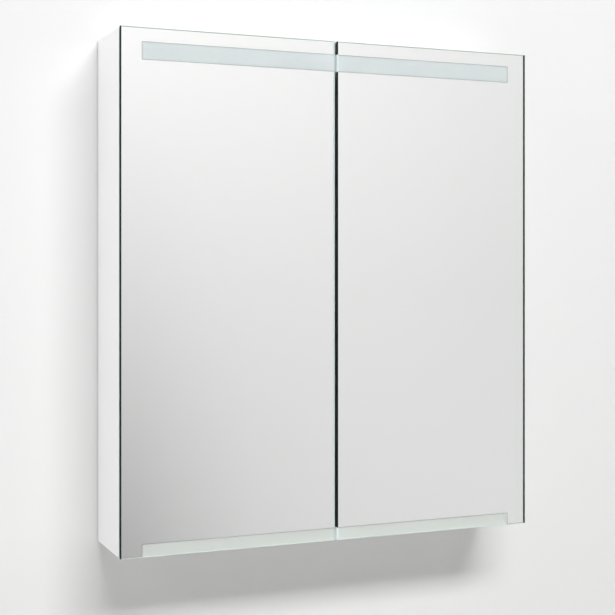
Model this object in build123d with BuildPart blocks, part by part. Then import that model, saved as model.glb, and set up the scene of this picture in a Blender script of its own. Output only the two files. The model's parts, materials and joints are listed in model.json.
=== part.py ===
from build123d import *
import os

os.makedirs("parts", exist_ok=True)

# A wall-hung mirror cabinet with two double-sided mirror doors and a light behind the upper edge.
# Row frame: +X to the right seen from the front, +Y into the wall, +Z up. The origin is on the wall
# plane, in the middle of the width, at the height of the cabinet's underside.

# ---- Driving dimensions (mm) --------------------------------------------------------------------

CABINET_WIDTH = 600
CABINET_HEIGHT = 680
CARCASS_DEPTH = 113          # wall to the front edge of the white panels
PANEL = 16                   # sides, top and bottom
BACK_SHEET = 4
RAIL_THICKNESS = 14          # hanging rails fill the space between back sheet and wall
RAIL_HEIGHT = 80
GROOVE_DEPTH = 6             # how far the back sheet goes into the panels
GROOVE_CLEARANCE = 0.1

FRONT_GLASS = 4
BOND_FILM = 1
BACK_GLASS = 3
DOOR_GAP = 2                 # between the doors and the carcass
CENTRE_GAP = 4               # between the two doors
GLASS_ARRIS = 0.5

WALL_SCREW_SPACING = 400
WALL_SCREW_HOLE = 7

DOWEL_DIAMETER = 8
DOWEL_LENGTH = 30
DOWEL_IN_SIDE = 11
DOWEL_FROM_FRONT = 24
DOWEL_FROM_BACK_SHEET = 14
RAIL_DOWEL_DIAMETER = 6
RAIL_DOWEL_LENGTH = 24
RAIL_DOWEL_IN_SIDE = 9

SHELF_GLASS = 5
SHELF_PIN_HEIGHTS = (228, 436)
SHELF_END_CLEARANCE = 1
SHELF_FRONT_SETBACK = 9      # behind the carcass front edge
SHELF_REAR_SETBACK = 9       # in front of the back sheet, leaves room for the cable
PIN_DIAMETER = 5
PIN_IN_SIDE = 9
PIN_SHOWING = 8
PIN_HOLE_PITCH = 32
PIN_EDGE_DISTANCE = 14       # from the shelf's front or rear edge

LIGHT_HOUSING_HEIGHT = 32
LIGHT_HOUSING_DEPTH = 40
LIGHT_HOUSING_WALL = 1
LIGHT_SETBACK = 2            # behind the carcass front edge
LIGHT_END_CLEARANCE = 1
LIGHT_DIFFUSER = 2
LIGHT_SCREWS = 4

LED_BOARD = 1.6
LED_BOARD_WIDTH = 16
LED_BOARD_END = 14           # shorter than the light at each end
LED_CHIP = 3
LED_CHIP_HEIGHT = 0.8
LED_PITCH = 20

LOWER_GROOVE = 10            # square groove in the front edge of the bottom panel
LOWER_PROFILE_WALL = 1
LOWER_PROFILE_CLEARANCE = 0.1
LOWER_BOARD_WIDTH = 7
LOWER_DIFFUSER = 1.5

DRIVER_LENGTH = 160
DRIVER_WIDTH = 42
DRIVER_HEIGHT = 22
DRIVER_FOOT = 10
DRIVER_FOOT_THICKNESS = 3
DRIVER_CORNER = 3
TERMINAL_LENGTH = 30
TERMINAL_WIDTH = 20
TERMINAL_HEIGHT = 17
TERMINAL_X = -150
TERMINAL_WIRE_HOLE = 3.6

GROMMET_X = -150
GROMMET_HEIGHT = 560
GROMMET_BORE = 8
GROMMET_BODY = 14
GROMMET_FLANGE = 20
GROMMET_FLANGE_THICKNESS = 2

CABLE = 5
CABLE_BEND = 14
CABLE_CLEAR_OF_BACK = 1
CABLE_FROM_SIDE = 8
CLIP_HEIGHTS = (130, 330, 510)
CLIP_LENGTH = 8
CLIP_WALL = 2

SWITCH_BOX_HEIGHT = 50
SWITCH_BOX_WIDTH = 28
SWITCH_BOX_DEPTH = 14
SWITCH_BOX_Z = 505
SWITCH_BOX_CORNER = 3
SWITCH_BOX_EDGE = 1
SWITCH_SCREW_OFFSET = 18
SWITCH_CABLE_OFFSET = 5      # from the middle of the switch box
CABLE_FROM_HINGE = 1.5
ROCKER_LENGTH = 18
ROCKER_WIDTH = 11
ROCKER_PLAY = 0.8
ROCKER_TILT = 7
ROCKER_AXLE = 2
ROCKER_AXLE_CLEARANCE = 0.05
ROCKER_AXLE_END = 1.4
ROCKER_PIVOT_DEPTH = 2.5
ROCKER_RISE = 3.2            # from the axle to the cap's raised ends
ROCKER_DIP = 1               # how much lower the middle of the cap is
ROCKER_SKIRT = 1             # how far the cap reaches below the axle

SCREW_SHANK = 3.5
SCREW_HEAD = 7
SCREW_HEAD_HEIGHT = 2
SCREW_IN_PANEL = 11

BUMPER_DIAMETER = 8
BUMPER_HEIGHT = 1.8
BUMPER_FROM_CENTRE = 20

# Hinges. Plan positions are (from the inner face of the side panel, from the door's back face).
HINGE_HEIGHTS = (100, 560)
PIVOT_ARM_OUTER = (43.3, 10.2)     # outer link on the arm
PIVOT_ARM_INNER = (29.3, 3.4)      # inner link on the arm
PIVOT_DOOR_OUTER = (5.4, 12.4)     # outer link on the door
PIVOT_DOOR_INNER = (4.4, 9.4)      # inner link on the door
HINGE_LAYER = 6                    # thickness of arm and of the boss lug
LINK_THICKNESS = 3
LINK_END_RADIUS = 3.2
LINK_LAYER_GAP = 0.3
HINGE_PIN = 3
PIN_RUNNING_CLEARANCE = 0.05
OPEN_PIVOT_CLEARANCE = 0.5         # the inner link's hole on the door, where the loop is opened
HINGE_PIN_HEAD = 4.8
HINGE_PIN_HEAD_HEIGHT = 1
HINGE_PIN_HEAD_GAP = 0.2
HINGE_PLATE = 2.5
HINGE_PLATE_LENGTH = 34
HINGE_PLATE_HEIGHT = 44
HINGE_PLATE_FROM_DOOR = 30
HINGE_PLATE_CORNER = 4
HINGE_ARM_FOOT = 7                 # height of the arm where it lies on the plate
HINGE_ARM_INSET = 2                # from the plate's ends
HINGE_ARM_ROOT = 14                # length of the slope up from the foot
HINGE_ARM_WAIST = 6                # from a pivot in to the arm's edges
HINGE_ARM_HEEL = 10                # how far the arm's outer slope starts in front of the plate
HINGE_SCREW_SPACING = 32
HINGE_BOSS_PLATE = 1.8
HINGE_BOSS_WIDTH = 15
HINGE_BOSS_HEIGHT = 30
HINGE_BOSS_FROM_SIDE = 1.5
HINGE_BOSS_CORNER = 2
HINGE_LUG_OUTER = 2.5              # from a door pivot to the lug's outer side
HINGE_LUG_INNER = (3, 4)           # to its inner side, at the pivot and at the boss plate

# ---- Derived planes -----------------------------------------------------------------------------

SIDE_FACE = CABINET_WIDTH / 2
INNER_FACE = SIDE_FACE - PANEL
CARCASS_FRONT = -CARCASS_DEPTH
DOOR_BACK = CARCASS_FRONT - DOOR_GAP
BACK_GLASS_FRONT = DOOR_BACK - BACK_GLASS
FILM_FRONT = BACK_GLASS_FRONT - BOND_FILM
DOOR_FRONT = FILM_FRONT - FRONT_GLASS
SHEET_REAR = -RAIL_THICKNESS
SHEET_FRONT = SHEET_REAR - BACK_SHEET
CEILING = CABINET_HEIGHT - PANEL
FLOOR = PANEL
SHELF_FRONT = CARCASS_FRONT + SHELF_FRONT_SETBACK
SHELF_REAR = SHEET_FRONT - SHELF_REAR_SETBACK
PIN_COLUMNS = (SHELF_FRONT + PIN_EDGE_DISTANCE, SHELF_REAR - PIN_EDGE_DISTANCE)
DOWEL_ROWS = (CARCASS_FRONT + DOWEL_FROM_FRONT, SHEET_FRONT - DOWEL_FROM_BACK_SHEET)
UPPER_RAIL_Z = CEILING - RAIL_HEIGHT / 2
LOWER_RAIL_Z = FLOOR + RAIL_HEIGHT / 2
RAIL_DOWEL_OFFSETS = (-RAIL_HEIGHT / 4, RAIL_HEIGHT / 4)
LIGHT_FRONT = CARCASS_FRONT + LIGHT_SETBACK
LIGHT_REAR = LIGHT_FRONT + LIGHT_HOUSING_DEPTH
LIGHT_BOTTOM = CEILING - LIGHT_HOUSING_HEIGHT
LIGHT_END = INNER_FACE - LIGHT_END_CLEARANCE
LOWER_GROOVE_BOTTOM = (PANEL - LOWER_GROOVE) / 2
CABLE_Y = SHEET_FRONT - CABLE_CLEAR_OF_BACK - CABLE / 2
DRIVER_Y = (LIGHT_REAR + SHEET_FRONT) / 2
PLATE_NEAR = DOOR_BACK + HINGE_PLATE_FROM_DOOR
PLATE_FAR = PLATE_NEAR + HINGE_PLATE_LENGTH
PLATE_Y = (PLATE_NEAR + PLATE_FAR) / 2
HINGE_SCREW_OFFSETS = (-HINGE_SCREW_SPACING / 2, HINGE_SCREW_SPACING / 2)
SWITCH_CABLE_Y = PLATE_FAR + CABLE_FROM_HINGE + CABLE / 2
SWITCH_BOX_Y = SWITCH_CABLE_Y - SWITCH_CABLE_OFFSET
SWITCH_SCREWS_Z = (SWITCH_BOX_Z - SWITCH_SCREW_OFFSET, SWITCH_BOX_Z + SWITCH_SCREW_OFFSET)
SWITCH_FACE = -INNER_FACE + SWITCH_BOX_DEPTH
ROCKER_PIVOT_X = SWITCH_FACE - ROCKER_PIVOT_DEPTH
SIDES = {"left": -1, "right": 1}


# ---- Small helpers ------------------------------------------------------------------------------

def block(x, y, z, mode=Mode.ADD):
    """Add or cut the box between three (low, high) pairs."""
    with Locations(((x[0] + x[1]) / 2, (y[0] + y[1]) / 2, (z[0] + z[1]) / 2)):
        Box(abs(x[1] - x[0]), abs(y[1] - y[0]), abs(z[1] - z[0]), mode=mode)


def rod(radius, start, end, mode=Mode.ADD):
    """Add or cut a round bar between two points that share two coordinates."""
    low, high = sorted((Vector(*start), Vector(*end)), key=lambda p: (p.X, p.Y, p.Z))
    span = high - low
    with Locations(Plane(origin=low, z_dir=span)):
        Cylinder(radius, span.length, align=(Align.CENTER, Align.CENTER, Align.MIN), mode=mode)


def screw(head, direction, length):
    """Add a pan-head screw whose head rests on the point `head`; it points along `direction`."""
    point = Vector(*head)
    along = Vector(*direction)
    tip = point + along * length
    crown = point - along * SCREW_HEAD_HEIGHT
    rod(SCREW_SHANK / 2, tuple(point), tuple(tip))
    rod(SCREW_HEAD / 2, tuple(crown), tuple(point))


def save(piece, name):
    """Label a finished piece and write it as its own node."""
    piece.part.label = name
    export_step(piece.part, f"parts/{name}.step")


def hinge_point(side, pivot):
    """Plan position of a hinge pivot in the row frame."""
    return (side * (INNER_FACE - pivot[0]), DOOR_BACK + pivot[1])


# ---- Carcass: sides, top, bottom, back and hanging rails ----------------------------------------

for name, side in SIDES.items():
    outer, inner = side * SIDE_FACE, side * INNER_FACE
    with BuildPart() as side_panel:
        block((outer, inner), (CARCASS_FRONT, 0), (0, CABINET_HEIGHT))
        block(
            (inner, inner + side * GROOVE_DEPTH),
            (SHEET_FRONT - GROOVE_CLEARANCE, SHEET_REAR + GROOVE_CLEARANCE),
            (FLOOR - GROOVE_DEPTH, CEILING + GROOVE_DEPTH),
            mode=Mode.SUBTRACT,
        )
        for y in DOWEL_ROWS:
            for z in (PANEL / 2, CABINET_HEIGHT - PANEL / 2):
                rod(DOWEL_DIAMETER / 2, (inner, y, z), (inner + side * DOWEL_IN_SIDE, y, z), Mode.SUBTRACT)
        for rail_z in (LOWER_RAIL_Z, UPPER_RAIL_Z):
            for offset in RAIL_DOWEL_OFFSETS:
                y, z = -RAIL_THICKNESS / 2, rail_z + offset
                end = (inner + side * RAIL_DOWEL_IN_SIDE, y, z)
                rod(RAIL_DOWEL_DIAMETER / 2, (inner, y, z), end, Mode.SUBTRACT)
        for y in PIN_COLUMNS:
            for height in SHELF_PIN_HEIGHTS:
                for step in (-1, 0, 1):
                    z = height + step * PIN_HOLE_PITCH
                    rod(PIN_DIAMETER / 2, (inner, y, z), (inner + side * PIN_IN_SIDE, y, z), Mode.SUBTRACT)
        for height in HINGE_HEIGHTS:
            for offset in HINGE_SCREW_OFFSETS:
                start = (inner, PLATE_Y, height + offset)
                end = (inner + side * SCREW_IN_PANEL, PLATE_Y, height + offset)
                rod(SCREW_SHANK / 2, start, end, Mode.SUBTRACT)
        if name == "left":
            for z in SWITCH_SCREWS_Z:
                y = SWITCH_BOX_Y
                rod(SCREW_SHANK / 2, (inner, y, z), (inner + side * SCREW_IN_PANEL, y, z), Mode.SUBTRACT)
    save(side_panel, f"{name}_side_panel")

housing_screw_xs = [
    -LIGHT_END + 2 * LIGHT_END * (index + 0.5) / LIGHT_SCREWS for index in range(LIGHT_SCREWS)
]
housing_screw_y = (LIGHT_FRONT + LIGHT_REAR) / 2
driver_screw_xs = [side * (DRIVER_LENGTH / 2 + DRIVER_FOOT / 2) for side in (-1, 1)]

with BuildPart() as top_panel:
    block((-INNER_FACE, INNER_FACE), (CARCASS_FRONT, 0), (CEILING, CABINET_HEIGHT))
    block(
        (-INNER_FACE, INNER_FACE),
        (SHEET_FRONT - GROOVE_CLEARANCE, SHEET_REAR + GROOVE_CLEARANCE),
        (CEILING, CEILING + GROOVE_DEPTH),
        mode=Mode.SUBTRACT,
    )
    for side in (-1, 1):
        for y in DOWEL_ROWS:
            z = CEILING + PANEL / 2
            inside = side * (INNER_FACE - DOWEL_LENGTH + DOWEL_IN_SIDE)
            rod(DOWEL_DIAMETER / 2, (side * INNER_FACE, y, z), (inside, y, z), Mode.SUBTRACT)
    for x in housing_screw_xs:
        end = (x, housing_screw_y, CEILING + SCREW_IN_PANEL)
        rod(SCREW_SHANK / 2, (x, housing_screw_y, CEILING), end, Mode.SUBTRACT)
    for x in driver_screw_xs + [TERMINAL_X]:
        end = (x, DRIVER_Y, CEILING + SCREW_IN_PANEL)
        rod(SCREW_SHANK / 2, (x, DRIVER_Y, CEILING), end, Mode.SUBTRACT)
save(top_panel, "top_panel")

lower_cable_x = INNER_FACE - CABLE_FROM_SIDE
lower_groove_rear = CARCASS_FRONT + LOWER_GROOVE
lower_cable_end_y = lower_groove_rear + CABLE / 2

with BuildPart() as bottom_panel:
    block((-INNER_FACE, INNER_FACE), (CARCASS_FRONT, 0), (0, FLOOR))
    block(
        (-INNER_FACE, INNER_FACE),
        (SHEET_FRONT - GROOVE_CLEARANCE, SHEET_REAR + GROOVE_CLEARANCE),
        (FLOOR - GROOVE_DEPTH, FLOOR),
        mode=Mode.SUBTRACT,
    )
    block(
        (-INNER_FACE, INNER_FACE),
        (CARCASS_FRONT, lower_groove_rear),
        (LOWER_GROOVE_BOTTOM, LOWER_GROOVE_BOTTOM + LOWER_GROOVE),
        mode=Mode.SUBTRACT,
    )
    for side in (-1, 1):
        for y in DOWEL_ROWS:
            inside = side * (INNER_FACE - DOWEL_LENGTH + DOWEL_IN_SIDE)
            start = (side * INNER_FACE, y, PANEL / 2)
            rod(DOWEL_DIAMETER / 2, start, (inside, y, PANEL / 2), Mode.SUBTRACT)
    rod(
        CABLE / 2 + GROOVE_CLEARANCE,
        (lower_cable_x, lower_cable_end_y, PANEL / 2),
        (lower_cable_x, lower_cable_end_y, FLOOR),
        Mode.SUBTRACT,
    )
save(bottom_panel, "bottom_panel")

sheet_reach = INNER_FACE + GROOVE_DEPTH - GROOVE_CLEARANCE
with BuildPart() as back_panel:
    block(
        (-sheet_reach, sheet_reach),
        (SHEET_FRONT, SHEET_REAR),
        (FLOOR - GROOVE_DEPTH + GROOVE_CLEARANCE, CEILING + GROOVE_DEPTH - GROOVE_CLEARANCE),
    )
    for x in (-WALL_SCREW_SPACING / 2, WALL_SCREW_SPACING / 2):
        for z in (LOWER_RAIL_Z, UPPER_RAIL_Z):
            rod(WALL_SCREW_HOLE / 2, (x, SHEET_FRONT, z), (x, SHEET_REAR, z), Mode.SUBTRACT)
    start = (GROMMET_X, SHEET_FRONT, GROMMET_HEIGHT)
    rod(GROMMET_BODY / 2, start, (GROMMET_X, SHEET_REAR, GROMMET_HEIGHT), Mode.SUBTRACT)
save(back_panel, "back_panel")

for name, rail_z in {"upper": UPPER_RAIL_Z, "lower": LOWER_RAIL_Z}.items():
    with BuildPart() as rail:
        block(
            (-INNER_FACE, INNER_FACE),
            (SHEET_REAR, 0),
            (rail_z - RAIL_HEIGHT / 2, rail_z + RAIL_HEIGHT / 2),
        )
        for x in (-WALL_SCREW_SPACING / 2, WALL_SCREW_SPACING / 2):
            rod(WALL_SCREW_HOLE / 2, (x, SHEET_REAR, rail_z), (x, 0, rail_z), Mode.SUBTRACT)
        for side in (-1, 1):
            inside = side * (INNER_FACE - RAIL_DOWEL_LENGTH + RAIL_DOWEL_IN_SIDE)
            for offset in RAIL_DOWEL_OFFSETS:
                y, z = -RAIL_THICKNESS / 2, rail_z + offset
                start = (side * INNER_FACE, y, z)
                rod(RAIL_DOWEL_DIAMETER / 2, start, (inside, y, z), Mode.SUBTRACT)
    save(rail, f"{name}_hanging_rail")

with BuildPart() as carcass_dowels:
    for side in (-1, 1):
        inside = side * (INNER_FACE - DOWEL_LENGTH + DOWEL_IN_SIDE)
        outside = side * (INNER_FACE + DOWEL_IN_SIDE)
        for y in DOWEL_ROWS:
            for z in (PANEL / 2, CABINET_HEIGHT - PANEL / 2):
                rod(DOWEL_DIAMETER / 2, (inside, y, z), (outside, y, z))
save(carcass_dowels, "carcass_dowels")

with BuildPart() as rail_dowels:
    for side in (-1, 1):
        inside = side * (INNER_FACE - RAIL_DOWEL_LENGTH + RAIL_DOWEL_IN_SIDE)
        outside = side * (INNER_FACE + RAIL_DOWEL_IN_SIDE)
        for rail_z in (LOWER_RAIL_Z, UPPER_RAIL_Z):
            for offset in RAIL_DOWEL_OFFSETS:
                y, z = -RAIL_THICKNESS / 2, rail_z + offset
                rod(RAIL_DOWEL_DIAMETER / 2, (inside, y, z), (outside, y, z))
save(rail_dowels, "rail_dowels")

# ---- Glass shelves on plug-in pins --------------------------------------------------------------

for name, height in zip(("lower", "upper"), SHELF_PIN_HEIGHTS):
    bottom = height + PIN_DIAMETER / 2
    reach = INNER_FACE - SHELF_END_CLEARANCE
    with BuildPart() as shelf:
        block((-reach, reach), (SHELF_FRONT, SHELF_REAR), (bottom, bottom + SHELF_GLASS))
        chamfer(shelf.edges().filter_by(Axis.X), GLASS_ARRIS)
    save(shelf, f"{name}_shelf")

with BuildPart() as shelf_pins:
    for side in (-1, 1):
        outside = side * (INNER_FACE + PIN_IN_SIDE)
        inside = side * (INNER_FACE - PIN_SHOWING)
        for y in PIN_COLUMNS:
            for z in SHELF_PIN_HEIGHTS:
                rod(PIN_DIAMETER / 2, (outside, y, z), (inside, y, z))
save(shelf_pins, "shelf_pins")

# ---- Upper light: sheet-metal housing, board and opal diffuser behind the door window ------------

with BuildPart() as top_light_housing:
    block((-LIGHT_END, LIGHT_END), (LIGHT_FRONT, LIGHT_REAR), (LIGHT_BOTTOM, CEILING))
    block(
        (-LIGHT_END + LIGHT_HOUSING_WALL, LIGHT_END - LIGHT_HOUSING_WALL),
        (LIGHT_FRONT, LIGHT_REAR - LIGHT_HOUSING_WALL),
        (LIGHT_BOTTOM + LIGHT_HOUSING_WALL, CEILING - LIGHT_HOUSING_WALL),
        mode=Mode.SUBTRACT,
    )
    for x in housing_screw_xs:
        start = (x, housing_screw_y, CEILING - LIGHT_HOUSING_WALL)
        rod(SCREW_SHANK / 2, start, (x, housing_screw_y, CEILING), Mode.SUBTRACT)
save(top_light_housing, "top_light_housing")

with BuildPart() as top_light_screws:
    for x in housing_screw_xs:
        head = (x, housing_screw_y, CEILING - LIGHT_HOUSING_WALL)
        screw(head, (0, 0, 1), SCREW_IN_PANEL + LIGHT_HOUSING_WALL)
save(top_light_screws, "top_light_screws")

with BuildPart() as top_light_diffuser:
    block(
        (-LIGHT_END + LIGHT_HOUSING_WALL, LIGHT_END - LIGHT_HOUSING_WALL),
        (LIGHT_FRONT, LIGHT_FRONT + LIGHT_DIFFUSER),
        (LIGHT_BOTTOM + LIGHT_HOUSING_WALL, CEILING - LIGHT_HOUSING_WALL),
    )
save(top_light_diffuser, "top_light_diffuser")


def led_board(length, rear, middle, width):
    """Add a board whose rear face is at `rear`, centred at height `middle`, with a row of chips."""
    front = rear - LED_BOARD
    block((-length / 2, length / 2), (front, rear), (middle - width / 2, middle + width / 2))
    count = int((length - 2 * LED_CHIP) // LED_PITCH)
    for index in range(count + 1):
        x = (index - count / 2) * LED_PITCH
        block(
            (x - LED_CHIP / 2, x + LED_CHIP / 2),
            (front - LED_CHIP_HEIGHT, front),
            (middle - LED_CHIP / 2, middle + LED_CHIP / 2),
        )


with BuildPart() as top_led_board:
    led_board(
        2 * (LIGHT_END - LED_BOARD_END),
        LIGHT_REAR - LIGHT_HOUSING_WALL,
        (LIGHT_BOTTOM + CEILING) / 2,
        LED_BOARD_WIDTH,
    )
save(top_led_board, "top_led_board")

# ---- Lower light: a slim profile let into the front edge of the bottom panel ---------------------

profile_rear = lower_groove_rear - LOWER_PROFILE_CLEARANCE
profile_low = LOWER_GROOVE_BOTTOM + LOWER_PROFILE_CLEARANCE
profile_high = LOWER_GROOVE_BOTTOM + LOWER_GROOVE - LOWER_PROFILE_CLEARANCE
profile_end = INNER_FACE - LOWER_PROFILE_CLEARANCE

with BuildPart() as bottom_light_profile:
    block((-profile_end, profile_end), (CARCASS_FRONT, profile_rear), (profile_low, profile_high))
    block(
        (-profile_end, profile_end),
        (CARCASS_FRONT, profile_rear - LOWER_PROFILE_WALL),
        (profile_low + LOWER_PROFILE_WALL, profile_high - LOWER_PROFILE_WALL),
        mode=Mode.SUBTRACT,
    )
save(bottom_light_profile, "bottom_light_profile")

with BuildPart() as bottom_led_board:
    led_board(
        2 * (INNER_FACE - LED_BOARD_END),
        profile_rear - LOWER_PROFILE_WALL,
        (profile_low + profile_high) / 2,
        LOWER_BOARD_WIDTH,
    )
save(bottom_led_board, "bottom_led_board")

with BuildPart() as bottom_light_diffuser:
    block(
        (-profile_end, profile_end),
        (CARCASS_FRONT, CARCASS_FRONT + LOWER_DIFFUSER),
        (profile_low + LOWER_PROFILE_WALL, profile_high - LOWER_PROFILE_WALL),
    )
save(bottom_light_diffuser, "bottom_light_diffuser")

# ---- Supply: driver, terminal block, grommet and cables ------------------------------------------

driver_bottom = CEILING - DRIVER_HEIGHT
with BuildPart() as led_driver:
    block(
        (-DRIVER_LENGTH / 2, DRIVER_LENGTH / 2),
        (DRIVER_Y - DRIVER_WIDTH / 2, DRIVER_Y + DRIVER_WIDTH / 2),
        (driver_bottom, CEILING),
    )
    fillet(led_driver.edges().filter_by(Axis.Z), DRIVER_CORNER)
    for x in driver_screw_xs:
        block(
            (x - DRIVER_FOOT / 2, x + DRIVER_FOOT / 2),
            (DRIVER_Y - DRIVER_WIDTH / 4, DRIVER_Y + DRIVER_WIDTH / 4),
            (CEILING - DRIVER_FOOT_THICKNESS, CEILING),
        )
        start = (x, DRIVER_Y, CEILING - DRIVER_FOOT_THICKNESS)
        rod(SCREW_SHANK / 2, start, (x, DRIVER_Y, CEILING), Mode.SUBTRACT)
save(led_driver, "led_driver")

with BuildPart() as driver_screws:
    for x in driver_screw_xs:
        head = (x, DRIVER_Y, CEILING - DRIVER_FOOT_THICKNESS)
        screw(head, (0, 0, 1), SCREW_IN_PANEL + DRIVER_FOOT_THICKNESS)
save(driver_screws, "driver_screws")

terminal_bottom = CEILING - TERMINAL_HEIGHT
wire_z = terminal_bottom + TERMINAL_HEIGHT / 2
with BuildPart() as terminal_block:
    block(
        (TERMINAL_X - TERMINAL_LENGTH / 2, TERMINAL_X + TERMINAL_LENGTH / 2),
        (DRIVER_Y - TERMINAL_WIDTH / 2, DRIVER_Y + TERMINAL_WIDTH / 2),
        (terminal_bottom, CEILING),
    )
    for index in (-1, 0, 1):
        x = TERMINAL_X + index * TERMINAL_LENGTH / 3
        start = (x, DRIVER_Y + TERMINAL_WIDTH / 2, wire_z)
        inside = (x, DRIVER_Y + TERMINAL_WIDTH / 4, wire_z)
        rod(TERMINAL_WIRE_HOLE / 2, start, inside, Mode.SUBTRACT)
    top = (TERMINAL_X, DRIVER_Y, CEILING)
    rod(SCREW_SHANK / 2, (TERMINAL_X, DRIVER_Y, terminal_bottom), top, Mode.SUBTRACT)
save(terminal_block, "terminal_block")

with BuildPart() as terminal_screw:
    screw((TERMINAL_X, DRIVER_Y, terminal_bottom), (0, 0, 1), SCREW_IN_PANEL + TERMINAL_HEIGHT)
save(terminal_screw, "terminal_screw")

with BuildPart() as cable_grommet:
    rod(GROMMET_BODY / 2, (GROMMET_X, SHEET_FRONT, GROMMET_HEIGHT), (GROMMET_X, SHEET_REAR, GROMMET_HEIGHT))
    for face, way in ((SHEET_FRONT, -1), (SHEET_REAR, 1)):
        lip = face + way * GROMMET_FLANGE_THICKNESS
        rod(GROMMET_FLANGE / 2, (GROMMET_X, face, GROMMET_HEIGHT), (GROMMET_X, lip, GROMMET_HEIGHT))
    rod(
        GROMMET_BORE / 2,
        (GROMMET_X, SHEET_FRONT - GROMMET_FLANGE_THICKNESS, GROMMET_HEIGHT),
        (GROMMET_X, SHEET_REAR + GROMMET_FLANGE_THICKNESS, GROMMET_HEIGHT),
        Mode.SUBTRACT,
    )
save(cable_grommet, "cable_grommet")

# The lower light's cable leaves the driver, goes down beside the right side and into the floor.
wire_height = CEILING - DRIVER_HEIGHT / 2
run_height = FLOOR + 2 * CABLE_BEND - CABLE
turn_x = lower_cable_x - 2.5 * CABLE_BEND
with BuildPart() as lower_light_cable:
    with BuildLine() as route:
        FilletPolyline(
            (DRIVER_LENGTH / 2, DRIVER_Y, wire_height - CABLE / 2),
            (turn_x, DRIVER_Y, wire_height - CABLE / 2),
            (lower_cable_x, CABLE_Y, wire_height - 2 * CABLE_BEND),
            (lower_cable_x, CABLE_Y, run_height),
            (lower_cable_x, lower_cable_end_y, run_height),
            (lower_cable_x, lower_cable_end_y, PANEL / 2),
            radius=CABLE_BEND,
        )
    with BuildSketch(Plane(origin=route.line @ 0, z_dir=route.line % 0)):
        Circle(CABLE / 2)
    sweep()
save(lower_light_cable, "lower_light_cable")

# A straight lead joins the terminal block to the driver.
with BuildPart() as driver_feed_cable:
    start = (TERMINAL_X + TERMINAL_LENGTH / 2, DRIVER_Y, terminal_bottom + CABLE)
    rod(CABLE / 2, start, (-DRIVER_LENGTH / 2, DRIVER_Y, terminal_bottom + CABLE))
save(driver_feed_cable, "driver_feed_cable")

# The switch cable rises from the switch on the left side and runs straight into the terminal block.
switch_cable_x = -INNER_FACE + SWITCH_BOX_DEPTH / 2
switch_cable_top = terminal_bottom + CABLE
with BuildPart() as switch_cable:
    with BuildLine() as route:
        FilletPolyline(
            (switch_cable_x, SWITCH_CABLE_Y, SWITCH_BOX_Z + SWITCH_BOX_HEIGHT / 2),
            (switch_cable_x, SWITCH_CABLE_Y, switch_cable_top),
            (TERMINAL_X - TERMINAL_LENGTH / 2 - 2 * CABLE_BEND, DRIVER_Y, switch_cable_top),
            (TERMINAL_X - TERMINAL_LENGTH / 2, DRIVER_Y, switch_cable_top),
            radius=2 * CABLE_BEND,
        )
    with BuildSketch(Plane(origin=route.line @ 0, z_dir=route.line % 0)):
        Circle(CABLE / 2)
    sweep()
save(switch_cable, "switch_cable")

with BuildPart() as cable_clips:
    for z in CLIP_HEIGHTS:
        block(
            (lower_cable_x - CABLE / 2 - CLIP_WALL, lower_cable_x + CABLE / 2 + CLIP_WALL),
            (CABLE_Y - CABLE / 2 - CLIP_WALL, SHEET_FRONT),
            (z - CLIP_LENGTH / 2, z + CLIP_LENGTH / 2),
        )
        start = (lower_cable_x, CABLE_Y, z - CLIP_LENGTH / 2)
        rod(CABLE / 2, start, (lower_cable_x, CABLE_Y, z + CLIP_LENGTH / 2), Mode.SUBTRACT)
save(cable_clips, "cable_clips")

# ---- Light switch: a surface box on the left side with a rocker on an axle -----------------------

pocket_length = ROCKER_LENGTH / 2 + ROCKER_PLAY
pocket_width = ROCKER_WIDTH / 2 + ROCKER_PLAY
axle_reach = pocket_width + ROCKER_AXLE_END
pocket_depth = ROCKER_RISE + ROCKER_PLAY

with BuildPart() as switch_box:
    block(
        (-INNER_FACE, SWITCH_FACE),
        (SWITCH_BOX_Y - SWITCH_BOX_WIDTH / 2, SWITCH_BOX_Y + SWITCH_BOX_WIDTH / 2),
        (SWITCH_BOX_Z - SWITCH_BOX_HEIGHT / 2, SWITCH_BOX_Z + SWITCH_BOX_HEIGHT / 2),
    )
    fillet(switch_box.edges().filter_by(Axis.X), SWITCH_BOX_CORNER)
    fillet(switch_box.faces().sort_by(Axis.X)[-1].edges(), SWITCH_BOX_EDGE)
    block(
        (ROCKER_PIVOT_X - pocket_depth, SWITCH_FACE),
        (SWITCH_BOX_Y - pocket_width, SWITCH_BOX_Y + pocket_width),
        (SWITCH_BOX_Z - pocket_length, SWITCH_BOX_Z + pocket_length),
        mode=Mode.SUBTRACT,
    )
    rod(
        ROCKER_AXLE / 2 + ROCKER_AXLE_CLEARANCE,
        (ROCKER_PIVOT_X, SWITCH_BOX_Y - axle_reach - ROCKER_AXLE_CLEARANCE, SWITCH_BOX_Z),
        (ROCKER_PIVOT_X, SWITCH_BOX_Y + axle_reach + ROCKER_AXLE_CLEARANCE, SWITCH_BOX_Z),
        Mode.SUBTRACT,
    )
    for z in SWITCH_SCREWS_Z:
        rod(SCREW_SHANK / 2, (-INNER_FACE, SWITCH_BOX_Y, z), (SWITCH_FACE, SWITCH_BOX_Y, z), Mode.SUBTRACT)
        sunk = SWITCH_FACE - SCREW_HEAD_HEIGHT
        rod(SCREW_HEAD / 2, (sunk, SWITCH_BOX_Y, z), (SWITCH_FACE, SWITCH_BOX_Y, z), Mode.SUBTRACT)
save(switch_box, "switch_box")

with BuildPart() as switch_screws:
    for z in SWITCH_SCREWS_Z:
        head = (SWITCH_FACE - SCREW_HEAD_HEIGHT, SWITCH_BOX_Y, z)
        screw(head, (-1, 0, 0), SCREW_IN_PANEL + SWITCH_BOX_DEPTH - SCREW_HEAD_HEIGHT)
save(switch_screws, "switch_screws")

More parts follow.
